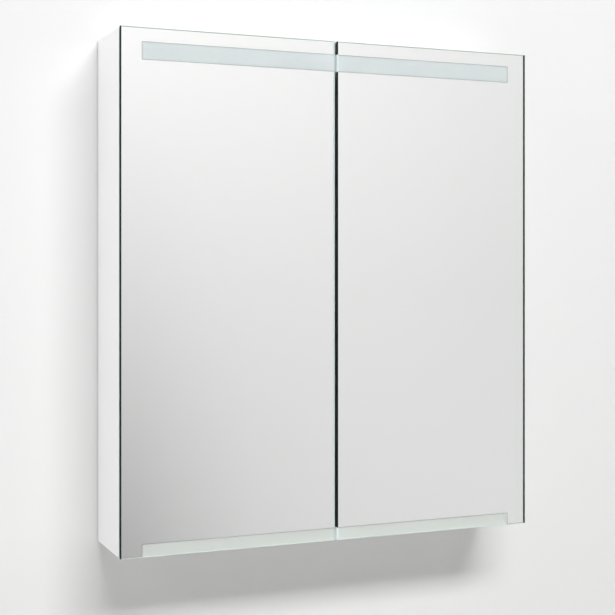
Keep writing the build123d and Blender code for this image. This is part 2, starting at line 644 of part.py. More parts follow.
# At rest the rocker's upper half stands out; the cap is a shallow vee on an axle.
rocker_axis = Vector(ROCKER_PIVOT_X, SWITCH_BOX_Y, SWITCH_BOX_Z)
rocker_plane = Plane(origin=rocker_axis, x_dir=(0, 0, 1), z_dir=(0, 1, 0)).rotated((0, 0, ROCKER_TILT))
with BuildPart() as switch_rocker:
    with BuildSketch(rocker_plane):
        with BuildLine():
            Polyline(
                (-ROCKER_LENGTH / 2, -ROCKER_SKIRT),
                (-ROCKER_LENGTH / 2, ROCKER_RISE),
                (0, ROCKER_RISE - ROCKER_DIP),
                (ROCKER_LENGTH / 2, ROCKER_RISE),
                (ROCKER_LENGTH / 2, -ROCKER_SKIRT),
                close=True,
            )
        make_face()
    extrude(amount=ROCKER_WIDTH / 2, both=True)
    low = (rocker_axis.X, SWITCH_BOX_Y - axle_reach, SWITCH_BOX_Z)
    rod(ROCKER_AXLE / 2, low, (rocker_axis.X, SWITCH_BOX_Y + axle_reach, SWITCH_BOX_Z))
save(switch_rocker, "switch_rocker")

# ---- Door bumpers on the top panel's front edge --------------------------------------------------

with BuildPart() as door_bumpers:
    for side in (-1, 1):
        x, z = side * BUMPER_FROM_CENTRE, CEILING + PANEL / 2
        rod(BUMPER_DIAMETER / 2, (x, CARCASS_FRONT, z), (x, CARCASS_FRONT - BUMPER_HEIGHT, z))
save(door_bumpers, "door_bumpers")

# ---- Hinges: fixed plate and arm, two links, and a boss bonded to each door ----------------------

layer = HINGE_LAYER / 2
link_low = layer + LINK_LAYER_GAP
link_high = link_low + LINK_THICKNESS
head_low = link_high + HINGE_PIN_HEAD_GAP
head_high = head_low + HINGE_PIN_HEAD_HEIGHT
arm_foot = HINGE_PLATE + HINGE_ARM_FOOT
arm_near = HINGE_PLATE_FROM_DOOR + HINGE_ARM_INSET
arm_far = HINGE_PLATE_FROM_DOOR + HINGE_PLATE_LENGTH - HINGE_ARM_INSET
arm_outline = (
    (HINGE_PLATE, arm_near),
    (PIVOT_ARM_INNER[0] - HINGE_ARM_WAIST, HINGE_PLATE_FROM_DOOR - HINGE_ARM_HEEL),
    (PIVOT_ARM_INNER[0] - LINK_END_RADIUS, PIVOT_ARM_INNER[1]),
    (PIVOT_ARM_INNER[0], PIVOT_ARM_INNER[1] - LINK_END_RADIUS),
    (PIVOT_ARM_OUTER[0], PIVOT_ARM_OUTER[1] - LINK_END_RADIUS),
    (PIVOT_ARM_OUTER[0] + LINK_END_RADIUS, PIVOT_ARM_OUTER[1]),
    (PIVOT_ARM_OUTER[0] - HINGE_ARM_WAIST, HINGE_PLATE_FROM_DOOR),
    (arm_foot, HINGE_PLATE_FROM_DOOR + HINGE_ARM_ROOT),
    (arm_foot, arm_far),
    (HINGE_PLATE, arm_far),
)
lug_outline = (
    (PIVOT_DOOR_INNER[0] - HINGE_LUG_OUTER, 0),
    (PIVOT_DOOR_INNER[0] - HINGE_LUG_OUTER, PIVOT_DOOR_INNER[1]),
    (PIVOT_DOOR_OUTER[0] - HINGE_LUG_OUTER, PIVOT_DOOR_OUTER[1]),
    (PIVOT_DOOR_OUTER[0] + HINGE_LUG_INNER[0], PIVOT_DOOR_OUTER[1]),
    (PIVOT_DOOR_OUTER[0] + HINGE_LUG_INNER[1], 0),
)


def hinge_pin(point, height, way):
    """Add a pin from the middle layer out through a link, with its head beyond the link."""
    x, y = point
    rod(HINGE_PIN / 2, (x, y, height), (x, y, height + way * head_high))
    rod(HINGE_PIN_HEAD / 2, (x, y, height + way * head_low), (x, y, height + way * head_high))


def pin_socket(point, height, way):
    """Cut the pin's seat from the middle layer."""
    x, y = point
    rod(HINGE_PIN / 2, (x, y, height), (x, y, height + way * layer), Mode.SUBTRACT)


for name, side in SIDES.items():
    arm_outer = hinge_point(side, PIVOT_ARM_OUTER)
    arm_inner = hinge_point(side, PIVOT_ARM_INNER)
    door_outer = hinge_point(side, PIVOT_DOOR_OUTER)
    door_inner = hinge_point(side, PIVOT_DOOR_INNER)

    with BuildPart() as hinge_plates:
        for height in HINGE_HEIGHTS:
            block(
                (side * INNER_FACE, side * (INNER_FACE - HINGE_PLATE)),
                (PLATE_NEAR, PLATE_FAR),
                (height - HINGE_PLATE_HEIGHT / 2, height + HINGE_PLATE_HEIGHT / 2),
            )
        fillet(hinge_plates.edges().filter_by(Axis.X), HINGE_PLATE_CORNER)
        for height in HINGE_HEIGHTS:
            for offset in HINGE_SCREW_OFFSETS:
                start = (side * INNER_FACE, PLATE_Y, height + offset)
                end = (side * (INNER_FACE - HINGE_PLATE), PLATE_Y, height + offset)
                rod(SCREW_SHANK / 2, start, end, Mode.SUBTRACT)
    save(hinge_plates, f"{name}_hinge_plates")

    with BuildPart() as hinge_screws:
        for height in HINGE_HEIGHTS:
            for offset in HINGE_SCREW_OFFSETS:
                head = (side * (INNER_FACE - HINGE_PLATE), PLATE_Y, height + offset)
                screw(head, (side, 0, 0), SCREW_IN_PANEL + HINGE_PLATE)
    save(hinge_screws, f"{name}_hinge_screws")

    # The arm is a plate in the middle layer: it lies on the mounting plate and carries both pivots.
    with BuildPart() as hinge_arms:
        for height in HINGE_HEIGHTS:
            with BuildSketch(Plane.XY.offset(height)):
                with BuildLine():
                    Polyline([hinge_point(side, corner) for corner in arm_outline], close=True)
                make_face()
                with Locations(arm_outer, arm_inner):
                    Circle(LINK_END_RADIUS)
            extrude(amount=layer, both=True)
            pin_socket(arm_outer, height, 1)
            pin_socket(arm_inner, height, -1)
    save(hinge_arms, f"{name}_hinge_arms")

    with BuildPart() as arm_pins:
        for height in HINGE_HEIGHTS:
            hinge_pin(arm_outer, height, 1)
            hinge_pin(arm_inner, height, -1)
    save(arm_pins, f"{name}_hinge_arm_pins")

    with BuildPart() as hinge_bosses:
        boss_near = side * (INNER_FACE - HINGE_BOSS_FROM_SIDE)
        boss_far = side * (INNER_FACE - HINGE_BOSS_FROM_SIDE - HINGE_BOSS_WIDTH)
        for height in HINGE_HEIGHTS:
            block(
                (boss_near, boss_far),
                (DOOR_BACK, DOOR_BACK + HINGE_BOSS_PLATE),
                (height - HINGE_BOSS_HEIGHT / 2, height + HINGE_BOSS_HEIGHT / 2),
            )
        fillet(hinge_bosses.edges().filter_by(Axis.Y), HINGE_BOSS_CORNER)
        for height in HINGE_HEIGHTS:
            with BuildSketch(Plane.XY.offset(height)):
                with Locations(door_outer, door_inner):
                    Circle(LINK_END_RADIUS)
                with BuildLine():
                    Polyline([hinge_point(side, corner) for corner in lug_outline], close=True)
                make_face()
            extrude(amount=layer, both=True)
            pin_socket(door_outer, height, 1)
            pin_socket(door_inner, height, -1)
    save(hinge_bosses, f"{name}_hinge_bosses")

    with BuildPart() as boss_pins:
        for height in HINGE_HEIGHTS:
            hinge_pin(door_outer, height, 1)
            hinge_pin(door_inner, height, -1)
    save(boss_pins, f"{name}_hinge_boss_pins")

    loose = HINGE_PIN / 2 + OPEN_PIVOT_CLEARANCE
    running = HINGE_PIN / 2 + PIN_RUNNING_CLEARANCE
    links = {
        "outer": (arm_outer, door_outer, 1, running),
        "inner": (arm_inner, door_inner, -1, loose),
    }
    for link_name, (at_arm, at_door, way, door_hole) in links.items():
        with BuildPart() as hinge_links:
            for height in HINGE_HEIGHTS:
                low = height + min(way * link_low, way * link_high)
                with BuildSketch(Plane.XY.offset(low)):
                    with BuildLine():
                        spine = Line(at_arm, at_door)
                    with Locations(spine @ 0.5):
                        SlotOverall(
                            spine.length + 2 * LINK_END_RADIUS,
                            2 * LINK_END_RADIUS,
                            rotation=spine.tangent_angle_at(0.5),
                        )
                    with Locations(at_arm):
                        Circle(running, mode=Mode.SUBTRACT)
                    with Locations(at_door):
                        Circle(door_hole, mode=Mode.SUBTRACT)
                extrude(amount=LINK_THICKNESS)
        save(hinge_links, f"{name}_{link_name}_links")

# ---- Doors: front mirror, bonding film and back mirror -------------------------------------------

for name, side in SIDES.items():
    span = sorted((side * SIDE_FACE, side * CENTRE_GAP / 2))
    with BuildPart() as front_mirror:
        block(span, (DOOR_FRONT, FILM_FRONT), (0, CABINET_HEIGHT))
        chamfer(front_mirror.faces().sort_by(Axis.Y)[0].edges(), GLASS_ARRIS)
    save(front_mirror, f"{name}_front_mirror")

    inset = GLASS_ARRIS
    with BuildPart() as bond_film:
        block(
            (span[0] + inset, span[1] - inset),
            (FILM_FRONT, BACK_GLASS_FRONT),
            (inset, CABINET_HEIGHT - inset),
        )
    save(bond_film, f"{name}_bond_film")

    with BuildPart() as back_mirror:
        block(span, (BACK_GLASS_FRONT, DOOR_BACK), (0, CABINET_HEIGHT))
        chamfer(back_mirror.faces().sort_by(Axis.Y)[-1].edges(), GLASS_ARRIS)
    save(back_mirror, f"{name}_back_mirror")
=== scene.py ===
# %% [markdown]
# A wall-hung mirror cabinet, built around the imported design.
# The design already fixes every size, so this script only asks where each part is and gives it its
# looks: soft edges, glass with a silver layer behind it, lacquer, nickel, spruce and opal plastic.
# All lengths are metres in the design's own frame: +X right, +Y into the wall, +Z up.

# %% load the frame
import bpy
import bmesh
import json
import math
from mathutils import Matrix, Vector


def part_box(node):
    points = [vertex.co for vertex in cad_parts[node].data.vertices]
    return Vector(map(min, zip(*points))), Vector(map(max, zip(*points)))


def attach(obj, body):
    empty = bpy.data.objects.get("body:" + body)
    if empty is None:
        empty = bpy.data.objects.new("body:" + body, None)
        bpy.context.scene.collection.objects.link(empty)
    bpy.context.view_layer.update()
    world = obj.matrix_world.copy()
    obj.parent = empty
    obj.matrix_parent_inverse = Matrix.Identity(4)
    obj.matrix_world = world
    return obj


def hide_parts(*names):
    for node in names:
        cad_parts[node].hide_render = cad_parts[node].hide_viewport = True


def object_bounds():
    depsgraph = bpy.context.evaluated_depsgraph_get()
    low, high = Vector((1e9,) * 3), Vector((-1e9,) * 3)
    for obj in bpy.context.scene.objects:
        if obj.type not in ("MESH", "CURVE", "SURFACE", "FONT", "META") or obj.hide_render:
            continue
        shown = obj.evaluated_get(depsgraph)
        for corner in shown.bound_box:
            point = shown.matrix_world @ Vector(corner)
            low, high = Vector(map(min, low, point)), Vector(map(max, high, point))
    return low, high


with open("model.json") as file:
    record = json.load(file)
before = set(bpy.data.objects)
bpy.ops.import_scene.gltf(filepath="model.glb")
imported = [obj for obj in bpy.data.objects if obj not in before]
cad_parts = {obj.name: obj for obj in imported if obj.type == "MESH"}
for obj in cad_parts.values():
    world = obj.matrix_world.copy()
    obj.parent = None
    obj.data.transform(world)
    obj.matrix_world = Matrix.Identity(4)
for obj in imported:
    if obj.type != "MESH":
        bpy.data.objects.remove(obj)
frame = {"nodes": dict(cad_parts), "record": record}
cad_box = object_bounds()
record = frame["record"]
body_of_node = {n: b for b, ns in record["behaviour"]["bodies"].items() for n in ns}
MM = 0.001
SIDES = {"left": -1, "right": 1}

# %% [markdown]
# Everything here is either a piece copied from the design with its edges eased, or a piece drawn
# from scratch where the real one has more shape than the design needs.
# Both kinds end the same way: a mesh object that rides on a body, names its finish and hides the
# design node that it stands for. One helper does that, so no piece is forgotten.

# %% helpers that turn a mesh into a piece
pieces = {}


def make_piece(name, mesh_data, materials, node=None, body=None, smooth=35):
    """Wrap a mesh as an object, give it its materials, and let it ride on its body."""
    if isinstance(mesh_data, bmesh.types.BMesh):
        mesh = bpy.data.meshes.new(name)
        bmesh.ops.recalc_face_normals(mesh_data, faces=mesh_data.faces[:])
        mesh_data.to_mesh(mesh)
        mesh_data.free()
    else:
        mesh = mesh_data
        mesh.materials.clear()
    for material in materials:
        mesh.materials.append(material)
    piece = bpy.data.objects.new(name, mesh)
    bpy.context.scene.collection.objects.link(piece)
    for face in mesh.polygons:
        face.use_smooth = True
    mesh.set_sharp_from_angle(angle=math.radians(smooth))
    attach(piece, body or body_of_node[node])
    if node:
        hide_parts(node)
    pieces[name] = piece
    return piece


def bake_modifiers(piece):
    """Apply the modifiers, so that the mesh is final."""
    graph = bpy.context.evaluated_depsgraph_get()
    final = bpy.data.meshes.new_from_object(piece.evaluated_get(graph))
    old = piece.data
    piece.modifiers.clear()
    piece.data = final
    bpy.data.meshes.remove(old)


def flatten_big_faces(piece):
    """Let large faces set the normals at their borders, so that they shade as flat."""
    weighted = piece.modifiers.new("big faces first", "WEIGHTED_NORMAL")
    weighted.weight = 100
    weighted.keep_sharp = True
    bake_modifiers(piece)


def eased_copy(node, material, bevel=0.4, segments=2, name=None, smooth=35):
    """Copy a design node, merge its triangles into flat faces and round its edges by `bevel` mm."""
    bm = bmesh.new()
    bm.from_mesh(frame["nodes"][node].data)
    bmesh.ops.remove_doubles(bm, verts=bm.verts[:], dist=0.01 * MM)
    bmesh.ops.dissolve_limit(
        bm, angle_limit=math.radians(1), verts=bm.verts[:], edges=bm.edges[:]
    )
    piece = make_piece(name or node + "_finished", bm, [material], node=node, smooth=smooth)
    if bevel:
        ease = piece.modifiers.new("eased edges", "BEVEL")
        ease.width = bevel * MM
        ease.segments = segments
        ease.limit_method = "ANGLE"
        ease.angle_limit = math.radians(40)
        ease.use_clamp_overlap = True
        bake_modifiers(piece)
        piece.data.set_sharp_from_angle(angle=math.radians(smooth))
        flatten_big_faces(piece)
    return piece


def add_block(bm, low, high, bevel=0.0, segments=2, material=0):
    """Add a box with rounded edges to a mesh under construction; corners in metres."""
    size = Vector(high) - Vector(low)
    middle = (Vector(high) + Vector(low)) / 2
    place = Matrix.Translation(middle) @ Matrix.Diagonal((*size, 1))
    made = bmesh.ops.create_cube(bm, size=1, matrix=place)
    faces = set(f for v in made["verts"] for f in v.link_faces)
    for face in faces:
        face.material_index = material
    if bevel:
        edges = list(set(e for v in made["verts"] for e in v.link_edges))
        bmesh.ops.bevel(
            bm, geom=edges, offset=bevel, segments=segments, affect="EDGES",
            clamp_overlap=True, material=-1,
        )


def add_lathe(bm, profile, base, direction, steps=24, material=0):
    """Add a turned piece: profile is (radius, height) pairs along `direction` from `base`."""
    turn = Vector((0, 0, 1)).rotation_difference(Vector(direction)).to_matrix().to_4x4()
    place = Matrix.Translation(Vector(base)) @ turn
    rings = []
    for radius, height in profile:
        if radius <= 0:
            rings.append([bm.verts.new(place @ Vector((0, 0, height)))])
            continue
        ring = []
        for step in range(steps):
            angle = 2 * math.pi * step / steps
            point = Vector((radius * math.cos(angle), radius * math.sin(angle), height))
            ring.append(bm.verts.new(place @ point))
        rings.append(ring)
    for lower, upper in zip(rings, rings[1:]):
        for step in range(steps):
            after = (step + 1) % steps
            if len(lower) == 1:
                corners = (lower[0], upper[after], upper[step])
            elif len(upper) == 1:
                corners = (lower[step], lower[after], upper[0])
            else:
                corners = (lower[step], lower[after], upper[after], upper[step])
            bm.faces.new(corners).material_index = material


print("helpers ready")

# %% [markdown]
# Finishes that share an effect should share one recipe. Slight drift of the colour, a fine grain,
# worn edges and the faint smears that hands leave are each a node group with named sockets, so a
# change to the recipe reaches every material that uses it.
# The groups put out only colours, masks and heights; each material keeps its own shader.

# %% shared node groups
def new_group(name, inputs, outputs):
    """Make a shader node group with (name, kind, default) inputs and (name, kind) outputs."""
    group = bpy.data.node_groups.new(name, "ShaderNodeTree")
    for label, kind, default in inputs:
        socket = group.interface.new_socket(label, in_out="INPUT", socket_type=kind)
        socket.default_value = default
    for label, kind in outputs:
        group.interface.new_socket(label, in_out="OUTPUT", socket_type=kind)
    entry = group.nodes.new("NodeGroupInput")
    leave = group.nodes.new("NodeGroupOutput")
    return group, entry, leave


def add_node(tree, kind, settings=None, **values):
    """Add a node; settings are its properties and values its input sockets, by name."""
    node = tree.nodes.new(kind)
    for key, value in (settings or {}).items():
        setattr(node, key, value)
    for key, value in values.items():
        node.inputs[key.replace("_", " ")].default_value = value
    return node


FLOAT, COLOR, VECTOR = "NodeSocketFloat", "NodeSocketColor", "NodeSocketVector"


def build_colour_drift():
    """Slow change of brightness over a surface, as paint and board have."""
    group, entry, leave = new_group(
        "colour_drift",
        [("Color", COLOR, (1, 1, 1, 1)), ("Scale", FLOAT, 6.0), ("Amount", FLOAT, 0.05)],
        [("Color", COLOR), ("Mask", FLOAT)],
    )
    place = group.nodes.new("ShaderNodeTexCoord")
    noise = add_node(group, "ShaderNodeTexNoise", Detail=4.0, Roughness=0.55)
    centred = add_node(group, "ShaderNodeMath", {"operation": "SUBTRACT"})
    centred.inputs[1].default_value = 0.5
    scaled = add_node(group, "ShaderNodeMath", {"operation": "MULTIPLY_ADD"})
    scaled.inputs[2].default_value = 1.0
    tint = add_node(group, "ShaderNodeHueSaturation")
    link = group.links.new
    link(place.outputs["Object"], noise.inputs["Vector"])
    link(entry.outputs["Scale"], noise.inputs["Scale"])
    link(noise.outputs["Fac"], centred.inputs[0])
    link(centred.outputs[0], scaled.inputs[0])
    link(entry.outputs["Amount"], scaled.inputs[1])
    link(scaled.outputs[0], tint.inputs["Value"])
    link(entry.outputs["Color"], tint.inputs["Color"])
    link(tint.outputs["Color"], leave.inputs["Color"])
    link(noise.outputs["Fac"], leave.inputs["Mask"])
    return group


def build_fine_grain():
    """A height field that can be stretched along an axis: orange peel, brushing, moulded skin."""
    group, entry, leave = new_group(
        "fine_grain",
        [("Scale", FLOAT, 900.0), ("Stretch", VECTOR, (1, 1, 1)), ("Detail", FLOAT, 2.0)],
        [("Height", FLOAT)],
    )
    place = group.nodes.new("ShaderNodeTexCoord")
    mapping = group.nodes.new("ShaderNodeMapping")
    noise = add_node(group, "ShaderNodeTexNoise", Roughness=0.5)
    link = group.links.new
    link(place.outputs["Object"], mapping.inputs["Vector"])
    link(entry.outputs["Stretch"], mapping.inputs["Scale"])
    link(mapping.outputs["Vector"], noise.inputs["Vector"])
    link(entry.outputs["Scale"], noise.inputs["Scale"])
    link(entry.outputs["Detail"], noise.inputs["Detail"])
    link(noise.outputs["Fac"], leave.inputs["Height"])
    return group


def build_smears():
    """Roughness that wanders between two values, as a wiped surface has."""
    group, entry, leave = new_group(
        "smears",
        [("Scale", FLOAT, 14.0), ("Smooth", FLOAT, 0.2), ("Rough", FLOAT, 0.3)],
        [("Roughness", FLOAT)],
    )
    place = group.nodes.new("ShaderNodeTexCoord")
    noise = add_node(group, "ShaderNodeTexNoise", Detail=3.0, Distortion=0.8)
    spread = group.nodes.new("ShaderNodeMapRange")
    spread.inputs["From Min"].default_value = 0.3
    spread.inputs["From Max"].default_value = 0.7
    link = group.links.new
    link(place.outputs["Object"], noise.inputs["Vector"])
    link(entry.outputs["Scale"], noise.inputs["Scale"])
    link(noise.outputs["Fac"], spread.inputs["Value"])
    link(entry.outputs["Smooth"], spread.inputs["To Min"])
    link(entry.outputs["Rough"], spread.inputs["To Max"])
    link(spread.outputs["Result"], leave.inputs["Roughness"])
    return group


def build_edge_wear():
    """A mask that is 1 on convex edges, broken up by noise."""
    group, entry, leave = new_group(
        "edge_wear",
        [("Amount", FLOAT, 0.5), ("Scale", FLOAT, 120.0)],
        [("Mask", FLOAT)],
    )
    shape = group.nodes.new("ShaderNodeNewGeometry")
    place = group.nodes.new("ShaderNodeTexCoord")
    noise = add_node(group, "ShaderNodeTexNoise", Detail=3.0)
    edge = group.nodes.new("ShaderNodeMapRange")
    edge.inputs["From Min"].default_value = 0.52
    edge.inputs["From Max"].default_value = 0.62
    broken = add_node(group, "ShaderNodeMath", {"operation": "MULTIPLY"})
    share = add_node(group, "ShaderNodeMath", {"operation": "MULTIPLY"})
    link = group.links.new
    link(place.outputs["Object"], noise.inputs["Vector"])
    link(entry.outputs["Scale"], noise.inputs["Scale"])
    link(shape.outputs["Pointiness"], edge.inputs["Value"])
    link(edge.outputs["Result"], broken.inputs[0])
    link(noise.outputs["Fac"], broken.inputs[1])
    link(broken.outputs[0], share.inputs[0])
    link(entry.outputs["Amount"], share.inputs[1])
    link(share.outputs[0], leave.inputs["Mask"])
    return group


def build_band_shade():
    """A factor that falls towards the border of a long band centred on x = 0."""
    group, entry, leave = new_group(
        "band_shade",
        [
            ("Centre Height", FLOAT, 0.0), ("Half Height", FLOAT, 0.01), ("Half Length", FLOAT, 0.27),
            ("Width", FLOAT, 0.004), ("Amount", FLOAT, 0.1),
        ],
        [("Factor", FLOAT)],
    )
    link = group.links.new

    def math_node(operation, *values):
        node = add_node(group, "ShaderNodeMath", {"operation": operation})
        for socket, value in zip(node.inputs, values):
            if isinstance(value, (int, float)):
                socket.default_value = value
            else:
                link(value, socket)
        return node.outputs[0]

    place = group.nodes.new("ShaderNodeTexCoord")
    parts = group.nodes.new("ShaderNodeSeparateXYZ")
    link(place.outputs["Object"], parts.inputs["Vector"])
    across = math_node("ABSOLUTE", parts.outputs["X"])
    up = math_node("SUBTRACT", parts.outputs["Z"], entry.outputs["Centre Height"])
    beyond_x = math_node("SUBTRACT", across, entry.outputs["Half Length"])
    beyond_z = math_node("SUBTRACT", math_node("ABSOLUTE", up), entry.outputs["Half Height"])
    beyond = math_node("MAXIMUM", beyond_x, beyond_z)
    share = math_node("DIVIDE", math_node("ADD", beyond, entry.outputs["Width"]), entry.outputs["Width"])
    kept = math_node("MINIMUM", math_node("MAXIMUM", share, 0.0), 1.0)
    loss = math_node("MULTIPLY", math_node("POWER", kept, 1.5), entry.outputs["Amount"])
    link(math_node("SUBTRACT", 1.0, loss), leave.inputs["Factor"])
    return group


colour_drift = build_colour_drift()
fine_grain = build_fine_grain()
smears = build_smears()
edge_wear = build_edge_wear()
band_shade = build_band_shade()
print("node groups", [g.name for g in bpy.data.node_groups])

# %% [markdown]
# Most finishes of the cabinet are one pattern with different numbers: a base colour that drifts a
# little, a worn lighter or darker edge, roughness that wanders, and a fine bump.
# One function lays those nodes out, and each finish is then a short call with its own values.

# %% one layout for painted, moulded and plated finishes
def place_group(tree, group, **values):
    """Put a shared group into a material; values are its inputs, by name."""
    node = tree.nodes.new("ShaderNodeGroup")
    node.node_tree = group
    for key, value in values.items():
        node.inputs[key].default_value = value
    return node


def surface(
    name, color, edge_color=None, wear=0.3, drift=0.05, drift_scale=6.0, smooth=0.25, rough=0.4,
    grain=900.0, stretch=(1, 1, 1), bump=0.05, bump_distance=0.05, metallic=0.0, coat=0.0,
    coat_roughness=0.05, transmission=0.0, subsurface=0.0, ior=1.5, specular=0.5,
):
    """A finish made of the shared groups. bump_distance is in millimetres."""
    material = bpy.data.materials.new(name)
    material.use_nodes = True
    tree = material.node_tree
    shader = tree.nodes["Principled BSDF"]
    link = tree.links.new
    drifted = place_group(tree, colour_drift, Color=(*color, 1), Scale=drift_scale, Amount=drift)
    worn = place_group(tree, edge_wear, Amount=wear)
    mix = tree.nodes.new("ShaderNodeMix")
    mix.data_type = "RGBA"
    mix.inputs["B"].default_value = (*(edge_color or color), 1)
    link(worn.outputs["Mask"], mix.inputs["Factor"])
    link(drifted.outputs["Color"], mix.inputs["A"])
    link(mix.outputs["Result"], shader.inputs["Base Color"])
    wander = place_group(tree, smears, Smooth=smooth, Rough=rough)
    link(wander.outputs["Roughness"], shader.inputs["Roughness"])
    texture = place_group(tree, fine_grain, Scale=grain, Stretch=stretch)
    height = add_node(tree, "ShaderNodeBump", Strength=bump, Distance=bump_distance * MM)
    link(texture.outputs["Height"], height.inputs["Height"])
    link(height.outputs["Normal"], shader.inputs["Normal"])
    shader.inputs["Metallic"].default_value = metallic
    shader.inputs["Coat Weight"].default_value = coat
    shader.inputs["Coat Roughness"].default_value = coat_roughness
    shader.inputs["Transmission Weight"].default_value = transmission
    shader.inputs["Subsurface Weight"].default_value = subsurface
    shader.inputs["Subsurface Radius"].default_value = (0.002, 0.002, 0.002)
    shader.inputs["IOR"].default_value = ior
    shader.inputs["Specular IOR Level"].default_value = specular
    return material


white_lacquer = surface(
    "white_lacquer", (0.92, 0.925, 0.92), edge_color=(0.93, 0.93, 0.93), wear=0.0, drift=0.008,
    drift_scale=3, smooth=0.34, rough=0.38, grain=1400, bump=0.05,
)
white_sheet = surface(
    "white_faced_board", (0.80, 0.81, 0.81), edge_color=(0.55, 0.42, 0.30), wear=0.5,
    drift=0.03, smooth=0.4, rough=0.55, grain=2500, bump=0.1,
)
nickel = surface(
    "satin_nickel", (0.68, 0.665, 0.64), edge_color=(0.86, 0.84, 0.80), wear=0.8, drift=0.08,
    drift_scale=40, smooth=0.2, rough=0.36, grain=900, stretch=(1, 1, 0.06), bump=0.12,
    metallic=1.0,
)
die_cast = surface(
    "die_cast_nickel", (0.60, 0.59, 0.57), edge_color=(0.80, 0.79, 0.76), wear=0.7, drift=0.1,
    drift_scale=60, smooth=0.3, rough=0.46, grain=1600, bump=0.2, metallic=1.0,
)
zinc = surface(
    "zinc_plated_steel", (0.70, 0.71, 0.72), edge_color=(0.85, 0.85, 0.85), wear=0.9,
    drift=0.16, drift_scale=90, smooth=0.22, rough=0.42, grain=1200, bump=0.12, metallic=1.0,
)
powder_coat = surface(
    "white_powder_coat", (0.88, 0.885, 0.88), edge_color=(0.94, 0.94, 0.93), drift=0.02,
    smooth=0.32, rough=0.45, grain=2600, bump=0.35,
)
aluminium = surface(
    "anodised_aluminium", (0.78, 0.785, 0.79), edge_color=(0.90, 0.90, 0.90), wear=0.6,
    drift=0.04, drift_scale=20, smooth=0.28, rough=0.4, grain=700, stretch=(0.02, 1, 1),
    bump=0.15, metallic=1.0,
)
opal = surface(
    "opal_acrylic", (0.90, 0.91, 0.90), edge_color=(0.96, 0.96, 0.95), drift=0.02,
    smooth=0.3, rough=0.42, grain=1800, bump=0.04, subsurface=0.4,
)
board_mask = surface(
    "white_circuit_board", (0.84, 0.86, 0.83), edge_color=(0.55, 0.52, 0.36), wear=0.8,
    drift=0.04, drift_scale=30, smooth=0.28, rough=0.4, grain=900, bump=0.08,
)
phosphor = surface(
    "led_phosphor", (0.86, 0.72, 0.22), edge_color=(0.95, 0.85, 0.45), drift=0.06,
    drift_scale=400, smooth=0.3, rough=0.5, grain=3000, bump=0.1,
)
copper = surface(
    "tinned_pads", (0.72, 0.70, 0.66), edge_color=(0.85, 0.83, 0.80), drift=0.1,
    drift_scale=300, smooth=0.2, rough=0.4, grain=1500, bump=0.1, metallic=1.0,
)
white_plastic = surface(
    "white_moulded_plastic", (0.84, 0.84, 0.82), edge_color=(0.92, 0.92, 0.90), drift=0.02,
    smooth=0.3, rough=0.42, grain=2200, bump=0.12,
)
grey_plastic = surface(
    "grey_moulded_plastic", (0.30, 0.31, 0.32), edge_color=(0.42, 0.43, 0.44), drift=0.05,
    smooth=0.35, rough=0.5, grain=2000, bump=0.15,
)
rubber = surface(
    "black_rubber", (0.022, 0.022, 0.024), edge_color=(0.07, 0.07, 0.07), drift=0.1,
    smooth=0.5, rough=0.68, grain=2600, bump=0.2,
)
soft_clear = surface(
    "clear_bumper", (0.78, 0.80, 0.80), edge_color=(0.88, 0.90, 0.90), drift=0.02,
    smooth=0.08, rough=0.16, grain=1500, bump=0.02, transmission=0.7, ior=1.45,
)
cable_sheath = surface(
    "white_cable_sheath", (0.80, 0.80, 0.78), edge_color=(0.86, 0.86, 0.84), drift=0.04,
    drift_scale=25, smooth=0.38, rough=0.52, grain=1600, bump=0.12,
)
brass = surface(
    "brass_contacts", (0.80, 0.62, 0.30), edge_color=(0.92, 0.78, 0.45), wear=0.8, drift=0.08,
    drift_scale=80, smooth=0.2, rough=0.36, grain=1000, bump=0.1, metallic=1.0,
)
print("finishes", len(bpy.data.materials))

# %% [markdown]
# Wood is not one colour with noise on it: it has growth lines that run along the board.
# Rings are cheap to fake with a wave texture whose coordinates are squeezed along the board, bent
# by noise, and mixed between an early-wood and a late-wood colour. Fine pores are a second, much
# longer stretched noise that only goes into the bump.

# %% wood
def wood(name, early, late, ring_scale, along):
    """Plain sawn wood. along is the stretch of the grain, small on the board's long axis."""
    material = bpy.data.materials.new(name)
    material.use_nodes = True
    tree = material.node_tree
    shader = tree.nodes["Principled BSDF"]
    link = tree.links.new
    place = tree.nodes.new("ShaderNodeTexCoord")
    squeeze = tree.nodes.new("ShaderNodeMapping")
    squeeze.inputs["Scale"].default_value = along
    rings = add_node(
        tree, "ShaderNodeTexWave", {"bands_direction": "Z"},
        Scale=ring_scale, Distortion=9.0, Detail=3.0, Detail_Scale=0.8,
    )
    mix = tree.nodes.new("ShaderNodeMix")
    mix.data_type = "RGBA"
    mix.inputs["A"].default_value = (*early, 1)
    mix.inputs["B"].default_value = (*late, 1)
    drifted = place_group(tree, colour_drift, Scale=18.0, Amount=0.22)
    wander = place_group(tree, smears, Smooth=0.55, Rough=0.75)
    pores = place_group(tree, fine_grain, Scale=1500.0, Stretch=along, Detail=4.0)
    height = add_node(tree, "ShaderNodeBump", Strength=0.35, Distance=0.15 * MM)
    link(place.outputs["Object"], squeeze.inputs["Vector"])
    link(squeeze.outputs["Vector"], rings.inputs["Vector"])
    link(rings.outputs["Fac"], mix.inputs["Factor"])
    link(mix.outputs["Result"], drifted.inputs["Color"])
    link(drifted.outputs["Color"], shader.inputs["Base Color"])
    link(wander.outputs["Roughness"], shader.inputs["Roughness"])
    link(pores.outputs["Height"], height.inputs["Height"])
    link(height.outputs["Normal"], shader.inputs["Normal"])
    return material


spruce = wood("sawn_spruce", (0.74, 0.58, 0.38), (0.60, 0.41, 0.22), 34, (0.05, 1, 1))
beech = wood("beech_dowel", (0.72, 0.55, 0.37), (0.60, 0.43, 0.27), 60, (0.05, 1, 1))
print("woods", spruce.name, beech.name)

